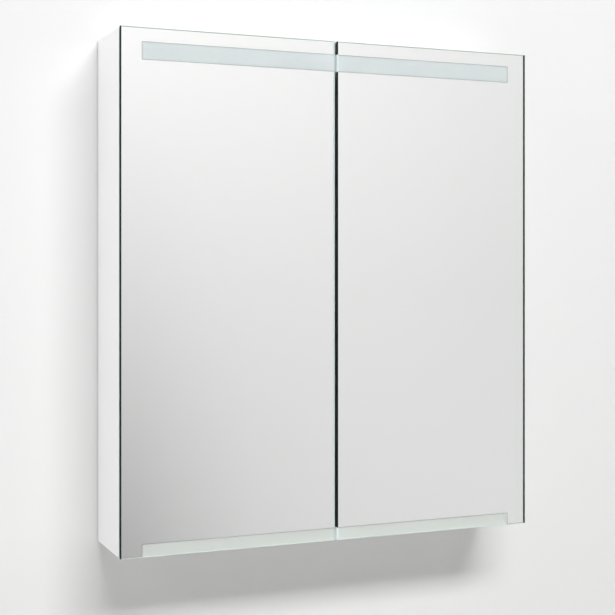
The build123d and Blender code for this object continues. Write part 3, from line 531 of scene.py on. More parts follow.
# %% [markdown]
# A mirror is a sheet of clear glass with a thin silver layer on its far side. What looks like the
# mirror's surface is therefore 4 mm behind the real surface, and along the cut edge the glass shows
# its own dark green. A single shiny plane would miss both.
# So the door gets real panes, a separate silver sheet, and different finishes on the pane's faces,
# its ground edge and its narrow polished arris. The arris's pale colour is a painted reflection, and
# the edge carries painted light: a glow in the band rows and where it is seen from inside the glass,
# and near-black painted shade on the hinge side. Where the silver is blasted off, a matt sheet takes
# its place: that is how the light window and the lower strip are made.

# %% glass and mirror finishes
def paint_glow_inside(material, color, glow):
    """Paint a pale glow into a finish where it is seen from behind, through the glass: painted light
    standing in for the light that the glass carries.
    """
    tree = material.node_tree
    shader = tree.nodes["Principled BSDF"]
    outside = shader.inputs["Base Color"].links[0].from_socket
    shape = tree.nodes.new("ShaderNodeNewGeometry")
    for socket_name in ("Base Color", "Emission Color"):
        mix = tree.nodes.new("ShaderNodeMix")
        mix.data_type = "RGBA"
        mix.inputs["A"].default_value = (0, 0, 0, 1)
        mix.inputs["B"].default_value = (*color, 1)
        tree.links.new(shape.outputs["Backfacing"], mix.inputs["Factor"])
        if socket_name == "Base Color":
            tree.links.new(outside, mix.inputs["A"])
        tree.links.new(mix.outputs["Result"], shader.inputs[socket_name])
    shader.inputs["Emission Strength"].default_value = glow


clear_pane = surface(
    "clear_float_glass", (0.968, 0.972, 0.968), edge_color=(0.968, 0.972, 0.968), wear=0.0,
    drift=0.004, smooth=0.0, rough=0.004, grain=300, bump=0.0, transmission=1.0, ior=1.5,
)
shelf_pane = surface(
    "shelf_float_glass", (0.93, 0.975, 0.955), edge_color=(0.93, 0.975, 0.955), wear=0.0,
    drift=0.006, smooth=0.0, rough=0.01, grain=300, bump=0.0, transmission=1.0, ior=1.5,
)
def edge_finish(name):
    """The dark green of a ground glass edge, made near black: partly the glass's own colour, partly
    painted shade for the dark gaps the edge lies in.
    """
    return surface(
        name, (0.006, 0.022, 0.018), edge_color=(0.012, 0.04, 0.033), wear=0.3, drift=0.25,
        drift_scale=90, smooth=0.35, rough=0.5, grain=900, bump=0.1, specular=0.0,
    )


dark_green_edge_and_shade = edge_finish("ground_edge_green_and_painted_shade")
edge_painted_inner_glow = edge_finish("pane_edge_painted_inner_glow")
# Seen from inside the glass, these edges turn pale and glow: painted light.
paint_glow_inside(edge_painted_inner_glow, (0.80, 0.93, 0.90), 0.42)
# Edges in the band rows: a pale colour plus emission, a painted glow standing in for light that the
# blasted band lets into the glass edge.
band_edge_painted_glow = surface(
    "pane_edge_painted_glow", (0.70, 0.78, 0.78), edge_color=(0.75, 0.85, 0.84), wear=0.3,
    drift=0.08, drift_scale=90, smooth=0.3, rough=0.45, grain=900, bump=0.1,
)
band_edge_glow_shader = band_edge_painted_glow.node_tree.nodes["Principled BSDF"]
band_edge_glow_shader.inputs["Emission Color"].default_value = (0.80, 0.90, 0.90, 1)
band_edge_glow_shader.inputs["Emission Strength"].default_value = 0.36
shelf_edge = surface(
    "polished_shelf_edge", (0.10, 0.27, 0.22), edge_color=(0.35, 0.60, 0.52), wear=0.6,
    drift=0.15, drift_scale=60, smooth=0.05, rough=0.14, grain=900, bump=0.03, coat=0.6,
)
# The arris is really polished; its pale colour is a painted reflection of the light from above.
arris_painted_reflection = surface(
    "pane_arris_painted_reflection", (0.62, 0.74, 0.70), edge_color=(0.75, 0.84, 0.80), wear=0.4,
    drift=0.10, drift_scale=120, smooth=0.08, rough=0.22, grain=900, bump=0.04,
)
silver = surface(
    "silver_layer", (0.935, 0.935, 0.932), edge_color=(0.935, 0.935, 0.932), wear=0.0,
    drift=0.006, drift_scale=3, smooth=0.0, rough=0.012, grain=40, bump=0.0, metallic=1.0,
)
frosted = surface(
    "sandblasted_band", (0.825, 0.895, 0.91), edge_color=(0.92, 0.95, 0.96), wear=0.2,
    drift=0.03, drift_scale=9, smooth=0.42, rough=0.55, grain=2600, bump=0.25,
)
frosted_low = surface(
    "sandblasted_strip", (0.91, 0.945, 0.905), edge_color=(0.95, 0.97, 0.95), wear=0.2,
    drift=0.03, drift_scale=9, smooth=0.42, rough=0.55, grain=2600, bump=0.25,
)
band_line = surface(
    "blasted_outline", (0.36, 0.40, 0.40), edge_color=(0.45, 0.48, 0.48), wear=0.3,
    drift=0.1, drift_scale=60, smooth=0.4, rough=0.55, grain=1800, bump=0.1,
)
film = surface(
    "bonding_film", (0.015, 0.018, 0.018), edge_color=(0.03, 0.035, 0.035), wear=0.4, drift=0.1,
    drift_scale=30, smooth=0.25, rough=0.4, grain=1200, bump=0.08,
)
print("glass finishes ready")

# %% [markdown]
# The carcass is 16 mm lacquered board. Board edges are never knife sharp: the lacquer pulls back
# from a sharp corner, so makers sand them round by a few tenths of a millimetre, and that thin
# highlight is what makes a white box read as furniture.
# The design already holds the grooves and the rows of pin holes, so these pieces are copies of the
# design with eased edges and not new drawings.

# %% carcass
for node in ("left_side_panel", "right_side_panel", "top_panel", "bottom_panel"):
    eased_copy(node, white_lacquer, bevel=0.5, segments=3)
eased_copy("back_panel", white_sheet, bevel=0.2)
for node in ("upper_hanging_rail", "lower_hanging_rail"):
    eased_copy(node, spruce, bevel=0.6)
for node in ("carcass_dowels", "rail_dowels"):
    eased_copy(node, beech, bevel=0.6)
print("carcass pieces", len(pieces))

# %% [markdown]
# Each door is two panes of mirror glass bonded back to back, so it is a mirror when it stands open
# too. The front pane is 4 mm and the back pane 3 mm.
# The silver sheet has openings for the blasted bands. A grid of cells says which parts of the
# sheet are there: the sheet, the bands and the thin line around them all come from the same grid,
# so they always fit each other.

# %% helpers for panes and sheets
BAND_SIDE = 28 * MM          # from the door's hinge-side edge to the bands
BAND_TOP = 18 * MM           # from the door's upper edge to the window
BAND_HEIGHT = 23.5 * MM
STRIP_HEIGHT = 17 * MM
BAND_LINE = 0.7 * MM
SHEET = 0.05 * MM
PANE_CLEARANCE = 0.06 * MM


def shade_band(material, low, high, amount):
    """Darken a blasted band a little towards its border, where the silver's edge shades it."""
    tree = material.node_tree
    shader = tree.nodes["Principled BSDF"]
    plain = shader.inputs["Base Color"].links[0].from_socket
    shade = place_group(tree, band_shade, Width=4 * MM, Amount=amount)
    shade.inputs["Centre Height"].default_value = (low + high) / 2
    shade.inputs["Half Height"].default_value = (high - low) / 2
    shade.inputs["Half Length"].default_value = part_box("right_front_mirror")[1].x - BAND_SIDE
    scaled = tree.nodes.new("ShaderNodeVectorMath")
    scaled.operation = "SCALE"
    tree.links.new(plain, scaled.inputs[0])
    tree.links.new(shade.outputs["Factor"], scaled.inputs["Scale"])
    tree.links.new(scaled.outputs["Vector"], shader.inputs["Base Color"])


door_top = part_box("right_front_mirror")[1].z
shade_band(frosted, door_top - BAND_TOP - BAND_HEIGHT, door_top - BAND_TOP, 0.15)
shade_band(frosted_low, -STRIP_HEIGHT, STRIP_HEIGHT, 0.08)


def cell_sheet(xs, zs, keep, y_low, y_high):
    """A thin closed sheet made of the grid cells for which keep(column, row) is true."""
    bm = bmesh.new()
    corners = {}

    def corner(i, j, y):
        if (i, j, y) not in corners:
            corners[(i, j, y)] = bm.verts.new((xs[i], y, zs[j]))
        return corners[(i, j, y)]

    columns, rows = len(xs) - 1, len(zs) - 1
    kept = {(i, j) for i in range(columns) for j in range(rows) if keep(i, j)}
    for i, j in sorted(kept):
        square = ((i, j), (i + 1, j), (i + 1, j + 1), (i, j + 1))
        for y in (y_low, y_high):
            bm.faces.new([corner(a, b, y) for a, b in square])
        beside = ((i, j - 1), (i + 1, j), (i, j + 1), (i - 1, j))
        for side in range(4):
            if beside[side] not in kept:
                (a, b), (c, d) = square[side], square[(side + 1) % 4]
                low_side = [corner(a, b, y_low), corner(c, d, y_low)]
                high_side = [corner(c, d, y_high), corner(a, b, y_high)]
                bm.faces.new(low_side + high_side)
    return bm


def glass_pane(low, high, arris, front, hinge_side, heights, painted_glow_rows):
    """A pane with a narrow arris on its outer face, which looks along `front` (-1 or 1) in y.

    The edge is split at `heights`; the splits in the listed band rows get a pale edge finish with a
    painted glow. The upright arris goes with the edge beside it, and only the level ones get the pale
    arris finish, a painted reflection on the polished arris. The edge on the hinge side (-1 or 1 in x)
    lies over the carcass and keeps the near-black finish as painted shade, also through the glass.
    """
    bm = bmesh.new()
    add_block(bm, low, high)
    outer = low[1] if front < 0 else high[1]
    rim = [e for e in bm.edges if all(abs(v.co.y - outer) < 1e-7 for v in e.verts)]
    bmesh.ops.bevel(bm, geom=rim, offset=arris, segments=1, affect="EDGES")
    for height in heights[1:-1]:
        everything = bm.verts[:] + bm.edges[:] + bm.faces[:]
        bmesh.ops.bisect_plane(bm, geom=everything, plane_co=(0, 0, height), plane_no=(0, 0, 1))
    bmesh.ops.recalc_face_normals(bm, faces=bm.faces[:])
    for face in bm.faces:
        across = abs(face.normal.y)
        height = face.calc_center_median().z
        row = sum(height > h for h in heights) - 1
        if across > 0.99:
            face.material_index = 0
        elif across > 0.01 and abs(face.normal.z) > 0.5:
            face.material_index = 2
        else:
            # Hinge-side edges take the near-black painted shade, band-row edges the painted glow, and
            # the rest a painted glow seen from inside.
            lit = row in painted_glow_rows and abs(face.normal.z) < 0.5
            face.material_index = 1 if face.normal.x * hinge_side > 0.5 else (3 if lit else 4)
    return bm


print("pane helpers ready")

# %% [markdown]
# A pane's edge, its arris and the silver behind it meet along lines only a millimetre apart, so each
# door is laid out once as a list of x and z lines. The silver, the light window, the lower strip and
# the outline pick their cells from that list, and the pane's edge is split at the same heights.
# The same layout serves both doors; only the hinge side changes.

# %% doors
for side_name, side in SIDES.items():
    body = side_name + "_door"
    front_low, front_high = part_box(side_name + "_front_mirror")
    back_low, back_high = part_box(side_name + "_back_mirror")
    # Grid lines: hinge side, band inset, outline, then the centre-gap edge.
    hinge_edge, gap_edge = (front_low.x, front_high.x) if side < 0 else (front_high.x, front_low.x)
    inset = hinge_edge - side * BAND_SIDE
    xs = [hinge_edge, inset, inset - side * BAND_LINE, gap_edge]
    top = front_high.z - BAND_TOP
    zs = [
        front_low.z, STRIP_HEIGHT - BAND_LINE, STRIP_HEIGHT, top - BAND_HEIGHT,
        top - BAND_HEIGHT + BAND_LINE, top - BAND_LINE, top, front_high.z,
    ]
    window_rows, strip_rows = {3, 4, 5}, {0, 1}
    open_rows = window_rows | strip_rows
    for node, low, high, front in (
        (side_name + "_front_mirror", front_low, front_high, -1),
        (side_name + "_back_mirror", back_low, back_high, 1),
    ):
        pane = glass_pane(low, high, 0.5 * MM, front, side, zs, open_rows)
        # Edge finishes: near-black painted shade on the hinge side, pale arris as painted reflection,
        # painted glow in the band rows and from inside elsewhere.
        finishes = [clear_pane, dark_green_edge_and_shade, arris_painted_reflection, band_edge_painted_glow, edge_painted_inner_glow]
        make_piece(node + "_pane", pane, finishes, node=node, smooth=20)

    sheets = {
        "silver": (silver, lambda i, j: i == 0 or j not in open_rows),
        "window": (frosted, lambda i, j: i == 2 and j == 4),
        "strip": (frosted_low, lambda i, j: i == 2 and j == 0),
        "outline": (
            band_line,
            lambda i, j: (i == 1 and j in open_rows) or (i == 2 and j in (1, 3, 5)),
        ),
    }
    planes = {"front": front_high.y + PANE_CLEARANCE, "back": back_low.y - PANE_CLEARANCE - SHEET}
    for plane_name, y in planes.items():
        for sheet_name, (finish, keep) in sheets.items():
            sheet = cell_sheet(xs, zs, keep, y, y + SHEET)
            label = f"{side_name}_{plane_name}_{sheet_name}"
            make_piece(label, sheet, [finish], body=body, smooth=20)

    film_low, film_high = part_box(side_name + "_bond_film")
    trim = Vector((0, 0.2 * MM, 0))
    bm = bmesh.new()
    add_block(bm, film_low + trim, film_high - trim, bevel=0.1 * MM, segments=1)
    make_piece(side_name + "_bond_layer", bm, [film], node=side_name + "_bond_film")
print("doors done, pieces", len(pieces))

# %% [markdown]
# The shelves are 5 mm float glass with polished edges. Clear glass takes its colour from its
# thickness: looking through the face it is almost colourless, looking into the edge it is green.
# Two finishes on one solid give that without a heavy absorption calculation.
# Each shelf lies on four plug-in pins with a small collar against the side.

# %% shelves and pins
for node in ("lower_shelf", "upper_shelf"):
    shelf = eased_copy(node, shelf_pane, bevel=0.3)
    shelf.data.materials.append(shelf_edge)
    for face in shelf.data.polygons:
        face.material_index = 0 if abs(face.normal.z) > 0.99 else 1

pins_low, pins_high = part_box("shelf_pins")
panel_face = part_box("right_side_panel")[0].x
pin_radius = 2.5 * MM
pin_rows = []
for shelf_node in ("lower_shelf", "upper_shelf"):
    pin_rows.append(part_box(shelf_node)[0].z - pin_radius)
pin_columns = (pins_low.y + pin_radius, pins_high.y - pin_radius)
bm = bmesh.new()
in_panel = pins_high.x - panel_face
pin_profile = [
    (0, 0), (2.2 * MM, 0), (2.5 * MM, 0.4 * MM), (2.5 * MM, in_panel),
    (3.6 * MM, in_panel + 0.05 * MM), (3.6 * MM, in_panel + 0.6 * MM), (3.3 * MM, in_panel + 0.85 * MM),
    (2.5 * MM, in_panel + 0.9 * MM), (2.5 * MM, in_panel + 7.3 * MM), (2.1 * MM, in_panel + 7.8 * MM),
    (0, in_panel + 8 * MM),
]
for side in SIDES.values():
    for y in pin_columns:
        for z in pin_rows:
            add_lathe(bm, pin_profile, (side * pins_high.x, y, z), (-side, 0, 0), steps=28)
make_piece("shelf_pins_turned", bm, [nickel], node="shelf_pins")
print("shelf pins at heights", [round(z / MM) for z in pin_rows])

# %% [markdown]
# A screw is only ever seen by its head, and a head is a low dome with a cross pressed into it.
# The dome is turned, and the cross is a real recess cut by a boolean, because a painted cross
# goes flat as soon as light grazes it. One cutter holds the crosses of a whole node, so each set of
# screws needs a single cut.

# %% screws with a cross recess
SHANK, HEAD, HEAD_HEIGHT = 1.75 * MM, 3.5 * MM, 2.0 * MM
CROSS_REACH, CROSS_WIDTH, CROSS_DEPTH = 1.9 * MM, 0.7 * MM, 1.2 * MM


def add_screw(bm, cutter, seat, direction, length):
    """A pan-head screw seated on `seat`, pointing along `direction`, and the cross for its head."""
    along = Vector(direction)
    crown = Vector(seat) - along * HEAD_HEIGHT
    profile = [
        (0, 0), (1.6 * MM, 0.05 * MM), (2.6 * MM, 0.4 * MM), (3.3 * MM, 1.0 * MM),
        (HEAD, 1.6 * MM), (3.4 * MM, HEAD_HEIGHT), (SHANK, HEAD_HEIGHT),
    ]
    turns = int((length - 2 * MM) / (1.2 * MM))
    for turn in range(turns):
        start = HEAD_HEIGHT + 1.2 * MM * turn
        profile += [(1.45 * MM, start + 0.5 * MM), (SHANK, start + 1.1 * MM)]
    profile += [(1.3 * MM, HEAD_HEIGHT + length - 1 * MM), (0, HEAD_HEIGHT + length)]
    add_lathe(bm, profile, crown, along, steps=20)
    turn = Vector((0, 0, 1)).rotation_difference(along).to_matrix().to_4x4()
    place = Matrix.Translation(crown) @ turn
    for reach_x, reach_y in ((CROSS_REACH, CROSS_WIDTH / 2), (CROSS_WIDTH / 2, CROSS_REACH)):
        size = Matrix.Diagonal((2 * reach_x, 2 * reach_y, 2 * CROSS_DEPTH, 1))
        bmesh.ops.create_cube(cutter, size=1, matrix=place @ size)


def cut_piece(piece, cutter_bm):
    """Subtract the cutter from a piece and apply the result."""
    mesh = bpy.data.meshes.new("cutter")
    cutter_bm.to_mesh(mesh)
    cutter_bm.free()
    cutter = bpy.data.objects.new("cutter", mesh)
    bpy.context.scene.collection.objects.link(cutter)
    cut = piece.modifiers.new("recess", "BOOLEAN")
    cut.operation = "DIFFERENCE"
    cut.solver = "EXACT"
    cut.use_self = True
    cut.object = cutter
    bpy.context.view_layer.update()
    bake_modifiers(piece)
    bpy.data.objects.remove(cutter)
    bpy.data.meshes.remove(mesh)


def screw_set(node, seats, direction, length):
    """All the screws of one design node."""
    bm, cutter = bmesh.new(), bmesh.new()
    for seat in seats:
        add_screw(bm, cutter, seat, direction, length)
    piece = make_piece(node + "_turned", bm, [zinc], node=node)
    cut_piece(piece, cutter)
    print(node, len(seats), "screws")
    return piece


def islands(node):
    """The boxes of a node's separate solids, as (low, high) pairs in order of place."""
    bm = bmesh.new()
    bm.from_mesh(frame["nodes"][node].data)
    bmesh.ops.remove_doubles(bm, verts=bm.verts[:], dist=0.01 * MM)
    left, found = set(bm.verts), []
    while left:
        group, edge = set(), [left.pop()]
        while edge:
            vert = edge.pop()
            group.add(vert)
            for link in vert.link_edges:
                other = link.other_vert(vert)
                if other in left:
                    left.discard(other)
                    edge.append(other)
        low = Vector([min(v.co[k] for v in group) for k in range(3)])
        high = Vector([max(v.co[k] for v in group) for k in range(3)])
        found.append((low, high))
    bm.free()
    return sorted(found, key=lambda pair: tuple(round(c, 5) for c in pair[0]))


def seats_along(node, axis, way):
    """Where each screw's head rests, for screws that point along +-axis (0 x, 2 z)."""
    seats = []
    for low, high in islands(node):
        seat = (low + high) / 2
        seat[axis] = (low[axis] + HEAD_HEIGHT) if way > 0 else (high[axis] - HEAD_HEIGHT)
        seats.append(seat)
    return seats


def screws_like(node, axis, way):
    """Turned screws in place of a node's plain ones."""
    low, high = islands(node)[0]
    direction = [0, 0, 0]
    direction[axis] = way
    screw_set(node, seats_along(node, axis, way), direction, high[axis] - low[axis] - HEAD_HEIGHT)


screws_like("top_light_screws", 2, 1)
screws_like("driver_screws", 2, 1)
screws_like("terminal_screw", 2, 1)
screws_like("switch_screws", 0, -1)
screws_like("left_hinge_screws", 0, -1)
screws_like("right_hinge_screws", 0, 1)

# %% [markdown]
# The upper light is a folded sheet-steel channel with an LED board at its back and an opal strip at
# its mouth, right behind the blasted window. The opal strip is what the eye sees through the
# window and through the gap between the doors, so its face matters even when the light is off.
# The boards are drawn new: the chips get their yellow lens, and between them lie tinned pads.

# %% lights
def led_board(node, strip_name):
    """A circuit board with chips, lenses and solder pads along its length."""
    low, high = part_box(node)
    chip_height, chip = 0.8 * MM, 1.5 * MM
    front = low.y + chip_height
    middle = (low.z + high.z) / 2
    bm = bmesh.new()
    add_block(bm, (low.x, front, low.z), high, bevel=0.15 * MM, segments=1, material=0)
    pitch = 20 * MM
    count = int((high.x - low.x - 4 * chip) // pitch)
    for index in range(count + 1):
        x = (index - count / 2) * pitch
        body_low = (x - chip, front - 0.55 * MM, middle - chip)
        add_block(bm, body_low, (x + chip, front, middle + chip), bevel=0.1 * MM, segments=1, material=0)
        add_lathe(
            bm, [(1.15 * MM, 0), (1.1 * MM, 0.12 * MM), (0.6 * MM, 0.22 * MM), (0, 0.25 * MM)],
            (x, front - 0.54 * MM, middle), (0, -1, 0), steps=16, material=1,
        )
        for side in (-1, 1):
            pad = x + side * (chip + 0.8 * MM)
            pad_low = (pad - 0.4 * MM, front - 0.06 * MM, middle - 0.9 * MM)
            add_block(bm, pad_low, (pad + 0.4 * MM, front, middle + 0.9 * MM), material=2)
        if index % 3 == 0 and index < count:
            part = x + pitch / 2
            part_low = (part - 1.0 * MM, front - 0.5 * MM, middle - 0.6 * MM)
            part_high = (part + 1.0 * MM, front, middle + 0.6 * MM)
            add_block(bm, part_low, part_high, bevel=0.08 * MM, material=3)
    make_piece(strip_name, bm, [board_mask, phosphor, copper, grey_plastic], node=node)
    print(strip_name, count + 1, "chips")


eased_copy("top_light_housing", powder_coat, bevel=0.25)
eased_copy("top_light_diffuser", opal, bevel=0.3)
eased_copy("bottom_light_profile", aluminium, bevel=0.15)
eased_copy("bottom_light_diffuser", opal, bevel=0.2)
led_board("top_led_board", "top_led_strip")
led_board("bottom_led_board", "bottom_led_strip")

# %% [markdown]
# The supply sits under the top panel behind the light: a moulded driver, a terminal block for the
# mains, and fixed cables. The cables follow their routes in the design, so the tubes are kept.
# The driver is drawn new, with cooling ribs, a parting line and a mounting tab at each end; the
# terminal block gets brass screws down its underside.

# %% supply
driver_low, driver_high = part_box("led_driver")
foot = 10 * MM
shell_low = Vector((driver_low.x + foot, driver_low.y, driver_low.z))
shell_high = Vector((driver_high.x - foot, driver_high.y, driver_high.z))
bm = bmesh.new()
parting = driver_high.z - 5 * MM
add_block(bm, shell_low, (shell_high.x, shell_high.y, parting - 0.2 * MM), bevel=1.6 * MM, segments=4)
lid_inset = 0.4 * MM
lid_low = (shell_low.x + lid_inset, shell_low.y + lid_inset, parting - 0.4 * MM)
lid_high = (shell_high.x - lid_inset, shell_high.y - lid_inset, driver_high.z)
add_block(bm, lid_low, lid_high, bevel=0.6 * MM)
for index in range(12):
    x = shell_low.x + 24 * MM + index * 5 * MM
    rib_low = (x, shell_low.y + 6 * MM, shell_low.z)
    rib_high = (x + 1.6 * MM, shell_high.y - 6 * MM, shell_low.z + 1.2 * MM)
    add_block(bm, rib_low, rib_high, bevel=0.3 * MM, material=1)
middle_y = (driver_low.y + driver_high.y) / 2
for side in (-1, 1):
    edge = side * shell_high.x
    tab = sorted((edge - side * 1 * MM, edge + side * foot))
    tab_low = (tab[0], middle_y - 10.5 * MM, driver_high.z - 3 * MM)
    add_block(bm, tab_low, (tab[1], middle_y + 10.5 * MM, driver_high.z), bevel=0.8 * MM, segments=3)
make_piece("led_driver_shell", bm, [white_plastic, grey_plastic], node="led_driver")

block_low, block_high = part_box("terminal_block")
bm = bmesh.new()
third = (block_high.x - block_low.x) / 3
middle_y = (block_low.y + block_high.y) / 2
for index in range(3):
    x = block_low.x + index * third
    cell_low = (x + 0.15 * MM, block_low.y, block_low.z)
    cell_high = (x + third - 0.15 * MM, block_high.y, block_high.z - 2 * MM)
    add_block(bm, cell_low, cell_high, bevel=0.8 * MM, segments=3)
    for way in (-1, 1):
        spot = (x + third / 2, middle_y + way * 5.5 * MM, block_low.z)
        turned = [(0, 0), (1.2 * MM, 0), (1.7 * MM, 0.3 * MM), (1.7 * MM, 1.0 * MM), (0, 1.2 * MM)]
        add_lathe(bm, turned, spot, (0, 0, 1), steps=18, material=1)
    mouth = (x + third / 2, block_high.y - 0.05 * MM, (block_low.z + block_high.z) / 2)
    ring = [(1.8 * MM, 0), (2.4 * MM, 0.02 * MM), (2.4 * MM, 0.05 * MM), (1.8 * MM, 0.05 * MM)]
    add_lathe(bm, ring, mouth, (0, 1, 0), steps=20, material=2)
base_low = (block_low.x, block_low.y + 1 * MM, block_high.z - 2.4 * MM)
add_block(bm, base_low, (block_high.x, block_high.y - 1 * MM, block_high.z), bevel=0.4 * MM)
make_piece("terminal_block_moulding", bm, [white_plastic, brass, grey_plastic], node="terminal_block")

for node in ("lower_light_cable", "driver_feed_cable", "switch_cable"):
    eased_copy(node, cable_sheath, bevel=0, smooth=60)
eased_copy("cable_clips", white_plastic, bevel=0.4)

grommet_low, grommet_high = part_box("cable_grommet")
depth = grommet_high.y - grommet_low.y
centre = (grommet_low + grommet_high) / 2
seat = Vector((centre.x, grommet_low.y, centre.z))
bore, neck, lip = 4 * MM, 7 * MM, 10 * MM
ring = [
    (bore, 0.7 * MM), (bore + 0.7 * MM, 0), (lip - 0.8 * MM, 0), (lip, 0.8 * MM),
    (lip - 0.3 * MM, 1.8 * MM),
    (neck, 2.0 * MM), (neck, depth - 2.0 * MM), (lip - 0.3 * MM, depth - 1.8 * MM),
    (lip, depth - 0.8 * MM), (lip - 0.8 * MM, depth), (bore + 0.7 * MM, depth), (bore, depth - 0.7 * MM),
    (bore, 0.7 * MM),
]
bm = bmesh.new()
add_lathe(bm, ring, seat, (0, 1, 0), steps=40)
bmesh.ops.remove_doubles(bm, verts=bm.verts[:], dist=0.001 * MM)
make_piece("cable_grommet_moulded", bm, [rubber], node="cable_grommet")
print("supply done, pieces", len(pieces))

# %% [markdown]
# The switch is a small surface box with a rocker on an axle. The rocker keeps the design's shape,
# because its travel inside the pocket was tested with it, and gets soft edges.
# Clear bumpers on the top panel keep the glass doors from clicking against the board.

# %% switch and bumpers
eased_copy("switch_box", white_plastic, bevel=0.35, segments=3)
eased_copy("switch_rocker", white_plastic, bevel=0.4, segments=3)
bm = bmesh.new()
for low, high in islands("door_bumpers"):
    centre = (low + high) / 2
    radius, height = (high.x - low.x) / 2, high.y - low.y
    dome = [
        (0, 0), (radius, 0), (radius, 0.35 * height), (0.94 * radius, 0.6 * height),
        (0.75 * radius, 0.85 * height), (0.4 * radius, 0.97 * height), (0, height),
    ]
    add_lathe(bm, dome, (centre.x, high.y, centre.z), (0, -1, 0), steps=32)
make_piece("door_bumper_domes", bm, [soft_clear], node="door_bumpers")
print("bumpers at", [round(b[0].x / MM) for b in islands("door_bumpers")])

# %% [markdown]
# The hinges are what a careful eye looks for once a door stands open. Each is a die-cast arm on a
# plated mounting plate, two pressed links on riveted pins, and a boss bonded to the glass.
# Arm, links and boss keep the outlines that the motion was tested with, and get eased edges; the
# adjusting screws on the arm, which any such hinge has, are added as turned pieces.

# %% hinges
HINGE_HEIGHTS = sorted({round((a.z + b.z) / 2, 4) for a, b in islands("left_hinge_arms")})
for side_name, side in SIDES.items():
    eased_copy(side_name + "_hinge_plates", nickel, bevel=0.5, segments=3)
    eased_copy(side_name + "_hinge_arms", die_cast, bevel=0.7, segments=3)
    eased_copy(side_name + "_hinge_arm_pins", nickel, bevel=0.3)
    eased_copy(side_name + "_hinge_bosses", die_cast, bevel=0.5, segments=3)
    eased_copy(side_name + "_hinge_boss_pins", nickel, bevel=0.3)
    eased_copy(side_name + "_outer_links", nickel, bevel=0.45, segments=3)
    eased_copy(side_name + "_inner_links", nickel, bevel=0.45, segments=3)
    arm_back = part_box(side_name + "_hinge_arms")[1].y
    foot_face = side * (panel_face - 9.5 * MM)
    bm, cutter = bmesh.new(), bmesh.new()
    for height in HINGE_HEIGHTS:
        for y in (arm_back - 6 * MM, arm_back - 15 * MM):
            crown = Vector((foot_face - side * 1.1 * MM, y, height))
            head = [
                (0, 0), (2.0 * MM, 0.02 * MM), (2.5 * MM, 0.3 * MM), (2.6 * MM, 0.8 * MM),
                (2.6 * MM, 1.4 * MM), (0, 1.5 * MM),
            ]
            add_lathe(bm, head, crown, (side, 0, 0), steps=24)
            for reach_y, reach_z in ((1.6 * MM, 0.3 * MM), (0.3 * MM, 1.6 * MM)):
                size = Matrix.Diagonal((1.4 * MM, 2 * reach_y, 2 * reach_z, 1))
                bmesh.ops.create_cube(cutter, size=1, matrix=Matrix.Translation(crown) @ size)
    adjusters = make_piece(side_name + "_hinge_adjusters", bm, [zinc], body="carcass")
    cut_piece(adjusters, cutter)
print("hinge heights", HINGE_HEIGHTS, "pieces", len(pieces))

# %% [markdown]
# The cabinet hangs on a pale wall above a pale floor, in soft light from above and the left.
# A mirror shows whatever stands in front of it, so half of this picture is the reflection: a broad
# pale card stands behind the camera, and its slow change from white at the top to grey at the lower
# left is what the doors show. The card gives out its own light, so its tones don't depend on the
# lamps.
# The wall is clear from behind, so that the back of the cabinet can be looked at.

# %% stage
FLOOR_Z = -1.15
STAGE_REACH = 4.0
WALL_Y = 1.5 * MM            # a hair behind the cabinet's back
WALL_HOLE_MARGIN = 8 * MM
CARD_Y = -3.64
CARD_X = (-3.5, 7.5)


def stage_plane(name, corners, material, faces=((0, 1, 2, 3),)):
    """A flat stage sheet from its corners."""
    mesh = bpy.data.meshes.new(name)
    mesh.from_pydata([Vector(c) for c in corners], [], faces)
    mesh.materials.append(material)
    plane = bpy.data.objects.new(name, mesh)
    bpy.context.scene.collection.objects.link(plane)
    return plane


def wall_material():
    """Pale matt wall seen from the front, clear when seen from behind."""
    material = bpy.data.materials.new("pale_wall")
    material.use_nodes = True
    tree = material.node_tree
    shader = tree.nodes["Principled BSDF"]
    shader.inputs["Roughness"].default_value = 0.9
    shader.inputs["Base Color"].default_value = (0.87, 0.87, 0.865, 1)
    output = tree.nodes["Material Output"]
    clear = tree.nodes.new("ShaderNodeBsdfTransparent")
    mix = tree.nodes.new("ShaderNodeMixShader")
    shape = tree.nodes.new("ShaderNodeNewGeometry")
    tree.links.new(shape.outputs["Backfacing"], mix.inputs["Fac"])
    tree.links.new(shader.outputs["BSDF"], mix.inputs[1])
    tree.links.new(clear.outputs["BSDF"], mix.inputs[2])
    tree.links.new(mix.outputs["Shader"], output.inputs["Surface"])
    return material


def floor_material():
    """Pale matt floor."""
    material = bpy.data.materials.new("pale_floor")
    material.use_nodes = True
    shader = material.node_tree.nodes["Principled BSDF"]
    shader.inputs["Base Color"].default_value = (0.72, 0.71, 0.69, 1)
    shader.inputs["Roughness"].default_value = 0.6
    return material


